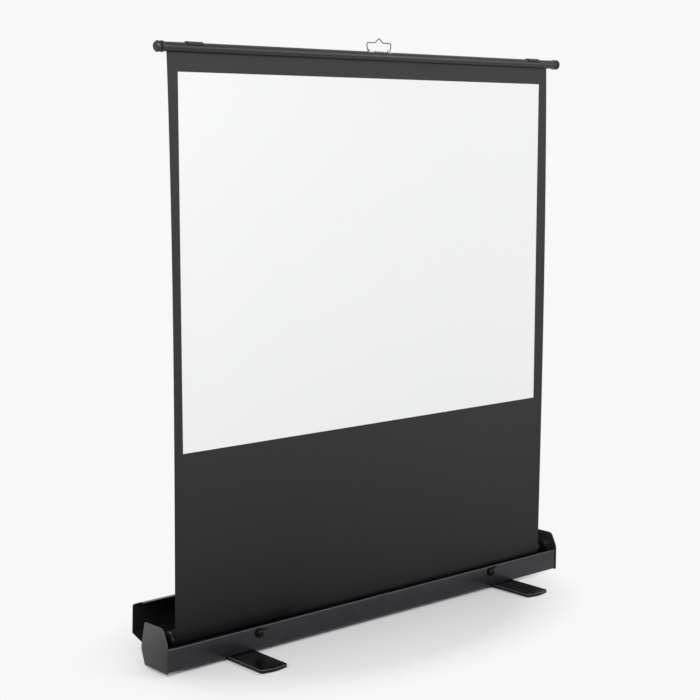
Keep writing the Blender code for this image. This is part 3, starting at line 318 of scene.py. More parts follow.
def welded(mesh, crease):
    """Loose triangles copied as one skin, flat faces whole again, smooth but for its creases."""
    work = bmesh.new()
    work.from_mesh(mesh)
    bmesh.ops.remove_doubles(work, verts=work.verts, dist=WELD_REACH)
    flat = {"angle_limit": FLAT_WITHIN, "use_dissolve_boundaries": False}
    bmesh.ops.dissolve_limit(work, verts=work.verts, edges=work.edges, **flat)
    skin = bpy.data.meshes.new(mesh.name + "_skin")
    work.to_mesh(skin)
    work.free()
    skin.shade_smooth()
    skin.set_sharp_from_angle(angle=math.radians(crease))
    return skin


def dressed(node, material, edge=0.0, crease=32):
    """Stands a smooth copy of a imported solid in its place, with its edges eased by that much."""
    solid = solids[node]
    piece = bpy.data.objects.new(node + "_finished", welded(solid.data, crease))
    bpy.context.scene.collection.objects.link(piece)
    piece.data.materials.clear()
    piece.data.materials.append(material)
    if edge:
        bevel = piece.modifiers.new("eased", "BEVEL")
        bevel.width = edge
        bevel.segments = 2
        bevel.limit_method = "ANGLE"
        bevel.angle_limit = math.radians(crease)
        bevel.harden_normals = True
    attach(piece, solid["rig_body"])
    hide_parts(node)


case_coat = powder_coat("case_powder_coat", CASE_COLOUR, CASE_DUST, CASE_GLOSS, edges=CASE_PAINTED_HIGHLIGHT)
dressed("case_base", case_coat, CASE_EDGE)


# The end caps: injection moulded cups, pushed over the sawn ends of the extrusion and screwed
# into its ports. Spark-eroded moulds leave a fine dull grain on their faces.
CAP_COLOUR = (0.0045, 0.0045, 0.0056)
# The pale tone of rubbed spots, which is also the tone of the caps' painted highlight.
CAP_WORN_AND_HIGHLIGHT = (0.110, 0.110, 0.114)
CAP_GRAIN = 0.00007
FLOW_DEPTH = 0.0004
# The caps' painted highlight grows paler between these two heights.
CAP_PAINTED_TOP_LIGHT = (0.060, 0.160)


def moulded(name, colour, wear_and_highlight, gloss, grain=CAP_GRAIN, fineness=1500.0, painted_top_light=None, shine=0.5):
    """Moulded plastic: spark grain, faint flow marks, paler where it is rubbed, and, where asked, a
    painted highlight that makes it paler towards the top.
    """
    plastic = Finish(name, colour, gloss, specular=shine)
    pits = plastic.lay("TexVoronoi", out="Distance", Vector=plastic.place, Scale=fineness)
    flow = plastic.speckle(11.0, 3.0, Roughness=0.55, Distortion=0.6)
    rubbed = plastic.within(plastic.speckle(24.0, 6.0), 0.54, 0.80)
    pale = rubbed * 0.45 + flow * 0.12
    if painted_top_light:
        height = plastic.lay("SeparateXYZ", out="Z", Vector=plastic.place)
        # Painted highlight: paler towards the top, where the upper face catches more light.
        pale = (rubbed * 0.20 + flow * 0.10 + plastic.within(height, *painted_top_light) * 0.42).clipped()
    plastic.put(Base_Color=plastic.mix(pale, colour, wear_and_highlight))
    plastic.put(Roughness=(gloss + (flow - 0.5) * 0.16 + rubbed * 0.08).clipped())
    plastic.raised(pits, grain, 0.5)
    plastic.raised(flow, FLOW_DEPTH, 0.12)
    return plastic.material


# The caps carry a painted highlight that makes them paler towards the top.
cap_plastic = moulded("moulded_cap_plastic", CAP_COLOUR, CAP_WORN_AND_HIGHLIGHT, gloss=0.46,
                      painted_top_light=CAP_PAINTED_TOP_LIGHT, shine=0.40)
for side in ("left", "right"):
    dressed(f"end_cap_{side}", cap_plastic, crease=40)


# The lid: a rolled aluminium cover that hooks round the bead and swings to the back, in the same
# powder coat. Two small strikers on its lip are what the latches catch.
LID_EDGE = 0.0004

lid_coat = powder_coat("lid_powder_coat", (0.0095, 0.0095, 0.0105), CASE_DUST, gloss=0.40)
dressed("lid", lid_coat, LID_EDGE)
striker_coat = powder_coat("striker_black", (0.010, 0.010, 0.011), CASE_DUST, gloss=0.34)
for side in ("left", "right"):
    dressed(f"lid_keeper_{side}", striker_coat)


# The latches: a round moulded base riveted to the front wall on each side, and a short black
# steel lever that turns on it to hook the lid's striker.
latch_plastic = moulded("latch_plastic", (0.0020, 0.0020, 0.0024), (0.008, 0.008, 0.009),
                        gloss=0.60, shine=0.12)
# The levers' edge colour is a painted highlight on their sloping edges.
lever_coat = powder_coat("latch_lever_black", (0.0035, 0.0035, 0.0040), (0.05, 0.05, 0.05),
                         gloss=0.20, edges=(0.16, 0.16, 0.17))
for side in ("left", "right"):
    dressed(f"latch_base_{side}", latch_plastic, edge=0.0003)
    dressed(f"latch_lever_{side}", lever_coat, edge=0.0004)


# The carry handle: one bent steel wire with a ribbed moulded grip, its ends in two moulded
# brackets on the lid. It folds flat against the lid when nobody carries the case.
HANDLE_SPAN = 0.150
HANDLE_REACH = 0.036
HANDLE_WIRE = 0.0045
HANDLE_BEND = 0.006
BRACKET_WIDTH = 0.016
BRACKET_GAP = 0.0015
BRACKET_END = 0.0033
GRIP_LENGTH = 0.100
GRIP_PLAIN = 0.012
GRIP_RADIUS = 0.0085
GRIP_RIBS = 15
RIB_HEIGHT = 0.0007


class Jig:
    """A Geometry Nodes tree with named sizes, which makes one plain mesh at a time."""

    def __init__(self, name):
        self.tree = bpy.data.node_groups.new(name, "GeometryNodeTree")
        face = self.tree.interface
        face.new_socket("Shape", in_out="INPUT", socket_type="NodeSocketGeometry")
        face.new_socket("Shape", in_out="OUTPUT", socket_type="NodeSocketGeometry")
        self.inlet = self.tree.nodes.new("NodeGroupInput")
        self.outlet = self.tree.nodes.new("NodeGroupOutput")
        self.start = self.inlet.outputs["Shape"]

    def size(self, name, kind="Float"):
        self.tree.interface.new_socket(name, in_out="INPUT", socket_type="NodeSocket" + kind)
        return self.inlet.outputs[name]

    def step(self, kind, settings=None, **sockets):
        node = self.tree.nodes.new(kind)
        for name, value in (settings or {}).items():
            setattr(node, name, value)
        for name, value in sockets.items():
            wanted = name.replace("_", " ")
            slot = next(s for s in node.inputs if s.enabled and s.name == wanted)
            if isinstance(value, bpy.types.NodeSocket):
                self.tree.links.new(value, slot)
            else:
                slot.default_value = value
        return node.outputs[0]

    def ends_with(self, shape):
        """Realizes the repeats and gives all of it the material that the piece is made in."""
        whole = self.step("GeometryNodeRealizeInstances", Geometry=shape)
        finish = self.size("Finish", "Material")
        painted = self.step("GeometryNodeSetMaterial", Geometry=whole, Material=finish)
        self.tree.links.new(painted, self.outlet.inputs["Shape"])

    def make(self, name, material, mesh=None, **sizes):
        """One piece with its plain mesh; the modifier is gone before anything else is done."""
        piece = bpy.data.objects.new(name, mesh or bpy.data.meshes.new(name))
        bpy.context.scene.collection.objects.link(piece)
        modifier = piece.modifiers.new("jig", "NODES")
        modifier.node_group = self.tree
        sizes["Finish"] = material
        for item in self.tree.interface.items_tree:
            if item.in_out == "INPUT" and item.name != "Shape":
                modifier[item.identifier] = sizes[item.name.replace(" ", "_")]
        graph = bpy.context.evaluated_depsgraph_get()
        made = bpy.data.meshes.new_from_object(piece.evaluated_get(graph))
        piece.modifiers.remove(modifier)
        piece.data = made
        return piece


def placed(piece, matrix):
    """Puts a finished shape where it belongs, in its own mesh."""
    piece.data.transform(matrix)
    if matrix.determinant() < 0:
        piece.data.flip_normals()
    return piece


def stands_for(piece, *nodes):
    """Rides on the body of the solids that it replaces, and hides them."""
    solid = solids[nodes[0]]
    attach(piece, solid["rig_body"])
    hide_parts(*nodes)


def creased(piece, degrees):
    piece.data.shade_smooth()
    piece.data.set_sharp_from_angle(angle=math.radians(degrees))
    return piece


def eased_corners(points, radii, steps=5):
    """The points of a path whose corners are rounded, each by its own radius."""
    path = []
    for index, point in enumerate(points):
        here = Vector(point)
        radius = radii[index] if isinstance(radii, (list, tuple)) else radii
        if index in (0, len(points) - 1) or radius == 0:
            path.append(here)
            continue
        back = Vector(points[index - 1]) - here
        on = Vector(points[index + 1]) - here
        half = back.angle(on) / 2
        cut = min(radius / math.tan(half), back.length * 0.49, on.length * 0.49)
        first, last = here + back.normalized() * cut, here + on.normalized() * cut
        centre = here + (back.normalized() + on.normalized()).normalized() * (
            math.hypot(cut, cut * math.tan(half))
        )
        a, b = first - centre, last - centre
        for step in range(steps + 1):
            path.append(centre + a.slerp(b, step / steps) * a.length)
    return path


def polyline(name, points):
    mesh = bpy.data.meshes.new(name)
    edges = [(index, index + 1) for index in range(len(points) - 1)]
    mesh.from_pydata([tuple(point) for point in points], edges, [])
    return mesh


wire_jig = Jig("bent_wire")
wire_radius = wire_jig.size("Radius")
wire_sides = wire_jig.size("Sides", "Int")
bend = wire_jig.step("GeometryNodeMeshToCurve", Mesh=wire_jig.start)
section = wire_jig.step("GeometryNodeCurvePrimitiveCircle", Resolution=wire_sides,
                        Radius=wire_radius)
drawn = wire_jig.step("GeometryNodeCurveToMesh", Curve=bend, Profile_Curve=section,
                      Fill_Caps=True)
wire_jig.ends_with(drawn)

rib_jig = Jig("grip_ribs")
rib_count = rib_jig.size("Ribs", "Int")
rib_pitch = rib_jig.size("Pitch", "Vector")
rib_first = rib_jig.size("First", "Vector")
rib_ring = rib_jig.size("Ring Radius")
rib_bead = rib_jig.size("Bead Radius")
stations = rib_jig.step(
    "GeometryNodeMeshLine", Count=rib_count, Start_Location=rib_first, Offset=rib_pitch
)
ring = rib_jig.step("GeometryNodeCurvePrimitiveCircle", Resolution=40, Radius=rib_ring)
bead = rib_jig.step("GeometryNodeCurvePrimitiveCircle", Resolution=8, Radius=rib_bead)
hoop = rib_jig.step("GeometryNodeCurveToMesh", Curve=ring, Profile_Curve=bead)
ribs = rib_jig.step(
    "GeometryNodeInstanceOnPoints", Points=stations, Instance=hoop,
    Rotation=(0.0, math.pi / 2, 0.0),
)
rib_jig.ends_with(ribs)


def lathed(name, profile, material, steps=72):
    """A turned piece from (radius, length) points on its outside, about the X axis."""
    on_axis = 1e-7
    work = bmesh.new()
    rings = []
    for radius, along in profile:
        if radius < on_axis:
            rings.append([work.verts.new((along, 0, 0))])
            continue
        turn_by = [2 * math.pi * step / steps for step in range(steps)]
        rings.append(
            [work.verts.new((along, radius * math.cos(a), radius * math.sin(a))) for a in turn_by]
        )
    closed = len(rings[0]) > 1 and len(rings[-1]) > 1
    pairs = list(zip(rings, rings[1:] + rings[:1])) if closed else list(zip(rings, rings[1:]))
    for near, far in pairs:
        for step in range(steps):
            on = (step + 1) % steps
            corners = [near[step % len(near)], near[on % len(near)]]
            corners += [far[on % len(far)], far[step % len(far)]]
            corners = [c for i, c in enumerate(corners) if c not in corners[:i]]
            if len(corners) > 2:
                work.faces.new(corners)
    bmesh.ops.recalc_face_normals(work, faces=work.faces)
    mesh = bpy.data.meshes.new(name)
    work.to_mesh(mesh)
    work.free()
    mesh.materials.append(material)
    piece = bpy.data.objects.new(name, mesh)
    bpy.context.scene.collection.objects.link(piece)
    return piece


HINGE = Vector((0.0, 0.0725, 0.070))
LID_OPEN = math.radians(87)
PIVOT = Vector((0.0, 0.0095, 0.1585))

wire_coat = powder_coat("handle_wire_black", (0.012, 0.012, 0.013), (0.09, 0.09, 0.09), gloss=0.32)
grip_rubber = moulded("handle_grip_rubber", (0.014, 0.014, 0.0145), (0.05, 0.05, 0.05), gloss=0.62)
bracket_plastic = moulded("bracket_plastic", (0.018, 0.018, 0.019), (0.05, 0.05, 0.05), gloss=0.48)
for side in ("left", "right"):
    dressed(f"handle_bracket_{side}", bracket_plastic, edge=0.0003)

# Drawn with the lid shut, then swung open with it
swing = Matrix.Rotation(-LID_OPEN, 4, "X")
opened = Matrix.Translation(HINGE) @ swing @ Matrix.Translation(-HINGE)
inner = HANDLE_SPAN / 2 - BRACKET_WIDTH / 2
wire_end = inner + BRACKET_WIDTH - BRACKET_END
knee = inner - HANDLE_WIRE - BRACKET_GAP
half = [(wire_end, 0), (knee, 0), (knee, HANDLE_REACH)]
corners = [(-x, y, 0) for x, y in half] + [(x, y, 0) for x, y in reversed(half)]
route = [point + PIVOT for point in eased_corners(corners, HANDLE_BEND)]
wire = wire_jig.make(
    "carry_handle_wire", wire_coat, polyline("handle_route", route), Radius=HANDLE_WIRE, Sides=24
)
placed(creased(wire, 40), opened)
grip_axis = PIVOT + Vector((0, HANDLE_REACH, 0))
soft_end = GRIP_LENGTH / 2
grip_profile = [(HANDLE_WIRE, soft_end - 0.0005), (HANDLE_WIRE + 0.0008, soft_end)]
grip_profile += [(GRIP_RADIUS * 0.72, soft_end - 0.0004), (GRIP_RADIUS * 0.88, soft_end - 0.002)]
grip_profile += [(GRIP_RADIUS - RIB_HEIGHT, soft_end - 0.006)]
grip_profile += [(radius, -along) for radius, along in reversed(grip_profile)]
grip = lathed("carry_handle_grip", grip_profile, grip_rubber, steps=48)
placed(creased(grip, 40), opened @ Matrix.Translation(grip_axis))
pitch = (GRIP_LENGTH - 2 * GRIP_PLAIN) / (GRIP_RIBS - 1)
grip_ribs = rib_jig.make(
    "carry_handle_ribs", grip_rubber, Ribs=GRIP_RIBS, Pitch=(pitch, 0.0, 0.0),
    First=(-pitch * (GRIP_RIBS - 1) / 2, 0.0, 0.0),
    Ring_Radius=GRIP_RADIUS - 1.6 * RIB_HEIGHT, Bead_Radius=1.6 * RIB_HEIGHT,
)
placed(creased(grip_ribs, 60), opened @ Matrix.Translation(grip_axis))
stands_for(wire, "carry_handle")
for piece in (grip, grip_ribs):
    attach(piece, "handle")


# The spring roller: a black enamelled tube with a moulded plug in each end, turning on a steel
# shaft at the left. A coiled spring inside it winds the cloth back in.
ROLLER_Y = -0.0040
ROLLER_Z = 0.098
ROLLER_RADIUS = 0.025
ROLLER_WALL = 0.0015
ROLLER_RIM = 0.0003
ROLLER_LEFT, ROLLER_RIGHT = -0.858, 0.838
SPRING_RADIUS = 0.0125
SPRING_WIRE = 0.0011
SPRING_TURNS = 14
DRAWING_LINES = (1400.0, 3.0)  # across and along
DRAWING_DEPTH = 0.00002


def drawn_metal(name, colour, gloss, along, dull=0.10):
    """Mill-finish metal: fine drawing lines along one axis, cloudy oxide, and a few dull spots."""
    metal = Finish(name, colour, gloss, metallic=1.0)
    lines = metal.streaks(along, *DRAWING_LINES, 2.0)
    cloud = metal.speckle(19.0, 5.0, Roughness=0.6)
    spots = metal.within(metal.speckle(70.0, 3.0), 0.64, 0.74)
    dim = tuple(channel * 0.72 for channel in colour)
    metal.put(Base_Color=metal.mix((cloud * 0.55 + spots * 0.3).clipped(), colour, dim))
    metal.put(Roughness=(gloss + (lines - 0.5) * 0.16 + (cloud - 0.5) * dull).clipped())
    metal.raised(lines, DRAWING_DEPTH, 0.5)
    return metal.material


def along_the_case(y, z):
    return Matrix.Translation((0, y, z))


roller_enamel = powder_coat("roller_enamel", (0.0030, 0.0030, 0.0034), CASE_DUST, gloss=0.40)
shaft_steel = drawn_metal("shaft_steel", (0.48, 0.48, 0.49), gloss=0.28, along=0)
spring_steel = drawn_metal("spring_steel", (0.33, 0.32, 0.31), gloss=0.34, along=0)
plug_plastic = moulded("roller_plug_plastic", (0.0015, 0.0015, 0.0017), (0.004, 0.004, 0.004),
                       gloss=0.60, shine=0.08)
bore = ROLLER_RADIUS - ROLLER_WALL
tube_profile = [
    (bore, ROLLER_LEFT), (ROLLER_RADIUS - ROLLER_RIM, ROLLER_LEFT),
    (ROLLER_RADIUS, ROLLER_LEFT + ROLLER_RIM), (ROLLER_RADIUS, ROLLER_RIGHT - ROLLER_RIM),
    (ROLLER_RADIUS - ROLLER_RIM, ROLLER_RIGHT), (bore, ROLLER_RIGHT),
]
roller_tube = lathed("roller_tube_finished", tube_profile, roller_enamel, steps=96)
placed(creased(roller_tube, 30), along_the_case(ROLLER_Y, ROLLER_Z))
stands_for(roller_tube, "roller_tube")
for side in ("left", "right"):
    dressed(f"roller_plug_{side}", plug_plastic, crease=30)
dressed("spring_shaft", shaft_steel, crease=30)

coil_jig = Jig("coiled_spring")
coil_turns = coil_jig.size("Turns")
coil_radius = coil_jig.size("Radius")
coil_length = coil_jig.size("Length")
coil_wire = coil_jig.size("Wire")
helix = coil_jig.step(
    "GeometryNodeCurveSpiral", Resolution=24, Rotations=coil_turns, Start_Radius=coil_radius,
    End_Radius=coil_radius, Height=coil_length,
)
gauge = coil_jig.step("GeometryNodeCurvePrimitiveCircle", Resolution=10, Radius=coil_wire)
coil = coil_jig.step("GeometryNodeCurveToMesh", Curve=helix, Profile_Curve=gauge, Fill_Caps=True)
coil_jig.ends_with(coil)
spring_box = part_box("roller_spring")
spring = coil_jig.make(
    "roller_spring_coil", spring_steel, Turns=float(SPRING_TURNS), Radius=SPRING_RADIUS,
    Length=spring_box[1].x - spring_box[0].x - 2 * SPRING_WIRE, Wire=SPRING_WIRE,
)
lay_down = Matrix.Rotation(math.pi / 2, 4, "Y")
spring_start = Matrix.Translation((spring_box[0].x + SPRING_WIRE, ROLLER_Y, ROLLER_Z))
placed(creased(spring, 60), spring_start @ lay_down)
stands_for(spring, "roller_spring")


# The cloth on the roller: what stays wound when the screen is up, a strip of woven glass fibre
# coated black, rolled three times round the tube so that its edges show as a spiral.
LEAF = 0.00034
CLOTH_LEFT, CLOTH_RIGHT = -0.850, 0.830
CLOTH_MIDDLE = (CLOTH_LEFT + CLOTH_RIGHT) / 2
WOUND_TURNS = 3.0
WOUND_INNER = 0.0253
WOUND_OUTER = 0.0264
# The near black of the cloth's painted shade, low down and at the left by the case.
CLOTH_PAINTED_SHADE = (0.0020, 0.0020, 0.0021)
CLOTH_COLOUR = (0.036, 0.036, 0.0365)
CLOTH_LIGHT = (0.056, 0.056, 0.057)
THREAD = 0.00085
WEAVE_DEPTH = 0.00012
SLUBS = (30.0, 700.0)  # across and up the cloth
# Where the cloth's painted shade lies: full below this height, lifting over this rise, and lighter
# towards the right from this offset.
PAINTED_SHADE_BELOW = 0.112
PAINTED_SHADE_RISE = 1.79
PAINTED_SHADE_ASIDE = 0.40
BAND_PITCH = 0.314


def woven(name, deep, colour, light, gloss, thread, depth):
    """Coated cloth: a plain weave under the coating, slubs, and slow changes of tone and gloss.

    It is painted deepest black low down at the left. This is painted shade near the case,
    lightening upwards and to the right."""
    cloth = Finish(name, colour, gloss, specular=0.15)
    height = cloth.lay("SeparateXYZ", out="Z", Vector=cloth.place)
    sideways = Flow(height.socket.node.outputs["X"])
    # Painted shade: darkest low down and at the left, near the case.
    raised = ((height - PAINTED_SHADE_BELOW) / PAINTED_SHADE_RISE).clipped()
    aside = (sideways + PAINTED_SHADE_ASIDE).clipped()
    out_of_painted_shade = (raised + aside * 0.15).clipped() ** 0.40
    waves = BAND_PITCH / thread  # at scale 1 the node's bands lie that far apart
    still = {"Distortion": 0.4, "Detail": 1.0, "Detail_Scale": 0.35}
    bands = {"wave_type": "BANDS", "wave_profile": "SIN"}
    weft = cloth.lay("TexWave", {**bands, "bands_direction": "Z"}, out="Fac", Vector=cloth.place,
                     Scale=waves, **still)
    warp = cloth.lay("TexWave", {**bands, "bands_direction": "X"}, out="Fac", Vector=cloth.place,
                     Scale=waves, **still)
    over = cloth.lay("TexChecker", out="Fac", Vector=cloth.place, Scale=1.0 / thread)
    weave = weft * over + warp * (1.0 - over)
    slubs = cloth.within(cloth.streaks(2, *SLUBS, 2.0), 0.58, 0.74)
    tone = cloth.speckle(2.3, 4.0, Roughness=0.5)
    thread_tone = cloth.mix((weave * 0.30 + slubs * 0.20 + tone * 0.35).clipped(), colour, light)
    # The colour runs to the painted shade's near black low down and at the left.
    cloth.put(Base_Color=cloth.mix(out_of_painted_shade, deep, thread_tone))
    cloth.put(Roughness=(gloss + (tone - 0.5) * 0.12 - weave * 0.05).clipped())
    cloth.raised(weave, depth, 0.6)
    return cloth


black_weave = woven("black_backed_cloth", CLOTH_PAINTED_SHADE, CLOTH_COLOUR, CLOTH_LIGHT, gloss=0.80,
                    thread=THREAD, depth=WEAVE_DEPTH)
roll_jig = Jig("rolled_sheet")
roll_turns = roll_jig.size("Turns")
roll_inner = roll_jig.size("Inner")
roll_outer = roll_jig.size("Outer")
roll_width = roll_jig.size("Width", "Vector")
roll_steps = roll_jig.size("Steps", "Int")
spiral = roll_jig.step(
    "GeometryNodeCurveSpiral", Resolution=roll_steps, Rotations=roll_turns,
    Start_Radius=roll_inner, End_Radius=roll_outer, Height=0.0,
)
edge_line = roll_jig.step("GeometryNodeCurveToMesh", Curve=spiral)
strip = roll_jig.step(
    "GeometryNodeExtrudeMesh", {"mode": "EDGES"}, Mesh=edge_line, Offset=roll_width,
    Offset_Scale=1.0,
)
roll_jig.ends_with(strip)


def with_wall(sheet, wall):
    """Gives a bare surface its thickness, half to each side, as one closed skin."""
    thicken = sheet.modifiers.new("wall", "SOLIDIFY")
    thicken.thickness = wall
    thicken.offset = 0.0
    thicken.use_even_offset = True
    graph = bpy.context.evaluated_depsgraph_get()
    whole = bpy.data.meshes.new_from_object(sheet.evaluated_get(graph))
    sheet.modifiers.remove(thicken)
    work = bmesh.new()
    work.from_mesh(whole)
    bmesh.ops.recalc_face_normals(work, faces=work.faces)
    work.to_mesh(whole)
    work.free()
    sheet.data = whole
    return sheet


def rolled(name, material, turns, inner, outer, width, wall, start, steps=64):
    """A strip rolled clockwise from an angle, seen along X, given its wall and laid along X."""
    sheet = roll_jig.make(name, material, Turns=turns, Inner=inner, Outer=outer,
                          Width=(0.0, 0.0, width), Steps=steps)
    with_wall(sheet, wall)
    upright = Matrix(((0, 0, 1, -width / 2), (1, 0, 0, 0), (0, 1, 0, 0), (0, 0, 0, 1)))
    return placed(sheet, Matrix.Rotation(start, 4, "X") @ upright)


wound = rolled("wound_cloth_layers", black_weave.material, WOUND_TURNS, WOUND_INNER + LEAF / 2,
               WOUND_OUTER - LEAF / 2, CLOTH_RIGHT - CLOTH_LEFT, LEAF, start=math.pi, steps=96)
placed(creased(wound, 35), Matrix.Translation((CLOTH_MIDDLE, ROLLER_Y, ROLLER_Z)))
stands_for(wound, "wound_cloth")


# The hanging cloth: black-backed woven glass fibre, 1.68 m wide, pulled up taut from the roller
# to the slat. Its cut side edges curl forward, as such cloth does, most of all just above half
# height and at the left. The pull leaves faint upright waves.
CLOTH_Y = -0.0311
CLOTH_LOW = 0.098
CLOTH_HIGH = 1.90615
CLOTH_WALL = 0.00045
CLOTH_FRONT = CLOTH_Y - 0.0004
CURL_LEFT, CURL_RIGHT = 0.0135, 0.0085
CURL_WIDTH = 0.044
CURL_BIAS = 1.25
WAVE = 0.0005


def billow(x, z):
    """How far the cloth stands behind its flat plane, below zero in front of it.

    Nothing at the roller and the slat."""
    up = (z - CLOTH_LOW) / (CLOTH_HIGH - CLOTH_LOW)
    slack = max(0.0, math.sin(math.pi * up**CURL_BIAS)) ** 0.8
    edge = max(0.0, 1.0 - min(x - CLOTH_LEFT, CLOTH_RIGHT - x) / CURL_WIDTH)
    wave = math.sin(14.3 * x + 0.9 * z) + 0.6 * math.sin(23.7 * x - 1.7 * z + 1.0)
    curl = CURL_LEFT if x < CLOTH_MIDDLE else CURL_RIGHT
    return slack * (WAVE * 0.5 * (wave + 1.6) * (1.0 - edge) - curl * edge * edge)


def hung(name, left, right, low, high, front, wall, material, across, up):
    """A taut sheet between those edges, its front face at a depth, following the billow."""
    points, faces = [], []
    for row in range(up + 1):
        z = low + (high - low) * row / up
        for column in range(across + 1):
            x = left + (right - left) * column / across
            points.append((x, front + wall / 2 + billow(x, z), z))
    for row in range(up):
        for column in range(across):
            first = row * (across + 1) + column
            faces.append((first, first + 1, first + across + 2, first + across + 1))
    mesh = bpy.data.meshes.new(name)
    mesh.from_pydata(points, [], faces)
    mesh.materials.append(material)
    piece = bpy.data.objects.new(name, mesh)
    bpy.context.scene.collection.objects.link(piece)
    return creased(with_wall(piece, wall), 45)


def rolls_down(piece):
    """Gives the cloth a mesh of its own."""
    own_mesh(piece)


black_cloth = hung("black_cloth_sheet", CLOTH_LEFT, CLOTH_RIGHT, CLOTH_LOW, CLOTH_HIGH,
                   CLOTH_FRONT, CLOTH_WALL, black_weave.material, across=168, up=96)
stands_for(black_cloth, "black_cloth")
rolls_down(black_cloth)


# The picture area: a matt white projection coat, a hair proud of the black cloth. Its surface
# has the fine even pebble that scatters light to all sides.
WHITE_LEFT, WHITE_RIGHT = -0.810, 0.790
WHITE_LOW, WHITE_HIGH = 0.687, 1.847
WHITE_WALL = 0.0003
WHITE_PROUD = 0.0001
WHITE_COLOUR = (0.802, 0.805, 0.807)
WHITE_CLOUDED = (0.775, 0.783, 0.79)
WHITE_GLOSS = 0.86
PEBBLE = 0.0009
PEBBLE_DEPTH = 0.00009

white_coat = Finish("white_projection_coat", WHITE_COLOUR, WHITE_GLOSS, specular=0.22)
pebbles = white_coat.lay("TexVoronoi", {"feature": "SMOOTH_F1"}, out="Distance",
                         Vector=white_coat.place, Scale=1.0 / PEBBLE)
batch = white_coat.speckle(1.6, 3.0)
clouds = white_coat.speckle(26.0, 4.0)
tint = ((batch - 0.5) * 0.5 + 0.4 + (clouds - 0.5) * 0.3 + pebbles * 0.15).clipped()
white_coat.put(Base_Color=white_coat.mix(tint, WHITE_COLOUR, WHITE_CLOUDED))
white_coat.put(Roughness=(WHITE_GLOSS + (clouds - 0.5) * 0.10).clipped())
white_coat.raised(pebbles, PEBBLE_DEPTH, 0.5)
white = hung("white_surface_sheet", WHITE_LEFT, WHITE_RIGHT, WHITE_LOW, WHITE_HIGH,
             CLOTH_FRONT - WHITE_PROUD - WHITE_WALL, WHITE_WALL, white_coat.material,
             across=160, up=64)
stands_for(white, "white_surface")
rolls_down(white)


# The top slat: a roll-formed steel tube, 30 mm across, enamelled black, with a slot along its
# underside. The cloth's edge is slid in along the slot with a plastic rod in its hem.
SLAT_Z = 1.9195
SLAT_RADIUS = 0.0150
SLAT_WALL = 0.0015
SLAT_LENGTH = 1.700
SLAT_SLOT = 0.0022
BUFFER_PLACE = 0.751
BUFFER_LENGTH = 0.058
BUFFER_WALL = 0.0030
BUFFER_GAP = 0.0003
BUFFER_ROUND = 0.0007
BUFFER_WRAP = math.radians(62)

slat_enamel = powder_coat("slat_enamel", (0.0060, 0.0060, 0.0072), (0.055, 0.055, 0.057),
                          gloss=0.40, peel=0.00003)
slat_middle = SLAT_RADIUS - SLAT_WALL / 2
slot_half = math.asin(SLAT_SLOT / 2 / slat_middle)
slat = rolled("slat_tube_finished", slat_enamel, 1.0 - slot_half / math.pi, slat_middle,
              slat_middle, SLAT_LENGTH, SLAT_WALL, start=-math.pi / 2 - slot_half, steps=96)
placed(creased(slat, 35), along_the_case(CLOTH_Y, SLAT_Z))
stands_for(slat, "slat_tube")
hem_plastic = moulded("hem_rod_plastic", (0.30, 0.30, 0.29), (0.42, 0.42, 0.41), gloss=0.45)
dressed("cloth_keder", hem_plastic, crease=40)

buffer_rubber = moulded("buffer_rubber", (0.0085, 0.0085, 0.0095), (0.030, 0.030, 0.031),
                        gloss=0.55, grain=0.00008, fineness=1100.0)
buffer_middle = SLAT_RADIUS + BUFFER_GAP + BUFFER_WALL / 2
for side, name in ((-1, "left"), (1, "right")):
    saddle = rolled(f"slat_buffer_{name}_finished", buffer_rubber, BUFFER_WRAP / math.pi,
                    buffer_middle, buffer_middle, BUFFER_LENGTH, BUFFER_WALL,
                    start=math.pi / 2 + BUFFER_WRAP, steps=90)
    placed(creased(saddle, 35), Matrix.Translation((side * BUFFER_PLACE, CLOTH_Y, SLAT_Z)))
    soften = saddle.modifiers.new("softened", "BEVEL")
    soften.width, soften.segments, soften.harden_normals = BUFFER_ROUND, 3, True
    soften.limit_method, soften.angle_limit = "ANGLE", math.radians(50)
    stands_for(saddle, f"slat_buffer_{name}")


# The slat's end knobs: moulded ends that look turned, plugged into the tube, with a waist between
# a drum and a bead, and a dished face. They rest in the case's ends when the screen is down.
KNOB_LENGTH = 0.039
KNOB_RADIUS = 0.0175
KNOB_NECK = 0.0125
KNOB_STUB = 0.020
KNOB_STUB_RADIUS = 0.0132
KNOB_GAP = 0.0003

knob_plastic = moulded("knob_plastic", (0.004, 0.004, 0.0044), (0.030, 0.030, 0.031), gloss=0.26,
                       grain=0.00003)
end = KNOB_LENGTH
knob_sketch = [
    (0.0, end - 0.0022), (0.0012, end - 0.0022), (0.0022, end - 0.0006), (0.0034, end - 0.0006),
    (0.0042, end - 0.0020), (KNOB_RADIUS * 0.52, end - 0.0020), (KNOB_RADIUS * 0.58, end),
    (KNOB_RADIUS * 0.74, end), (KNOB_RADIUS, end - 0.0046), (KNOB_RADIUS, end - 0.0096),
    (KNOB_RADIUS * 0.90, end - 0.0126), (KNOB_NECK, end - 0.0140), (KNOB_NECK, end - 0.0160),
    (KNOB_RADIUS * 0.92, end - 0.0174), (KNOB_RADIUS, end - 0.0198),
    (KNOB_RADIUS, end - 0.0242), (KNOB_RADIUS * 0.92, end - 0.0264),
    (SLAT_RADIUS, end - 0.0275), (SLAT_RADIUS, KNOB_GAP),
    (KNOB_STUB_RADIUS, KNOB_GAP), (KNOB_STUB_RADIUS, -KNOB_STUB), (0.0, -KNOB_STUB),
]
knob_turns = [0, 0.0004, 0.0004, 0.0004, 0.0005, 0.0005, 0.0006, 0.0030, 0.0030, 0.0030, 0.0012,
              0.0008, 0.0008, 0.0012, 0.0020, 0.0020, 0.0012, 0.0006, 0, 0, 0.0006, 0]
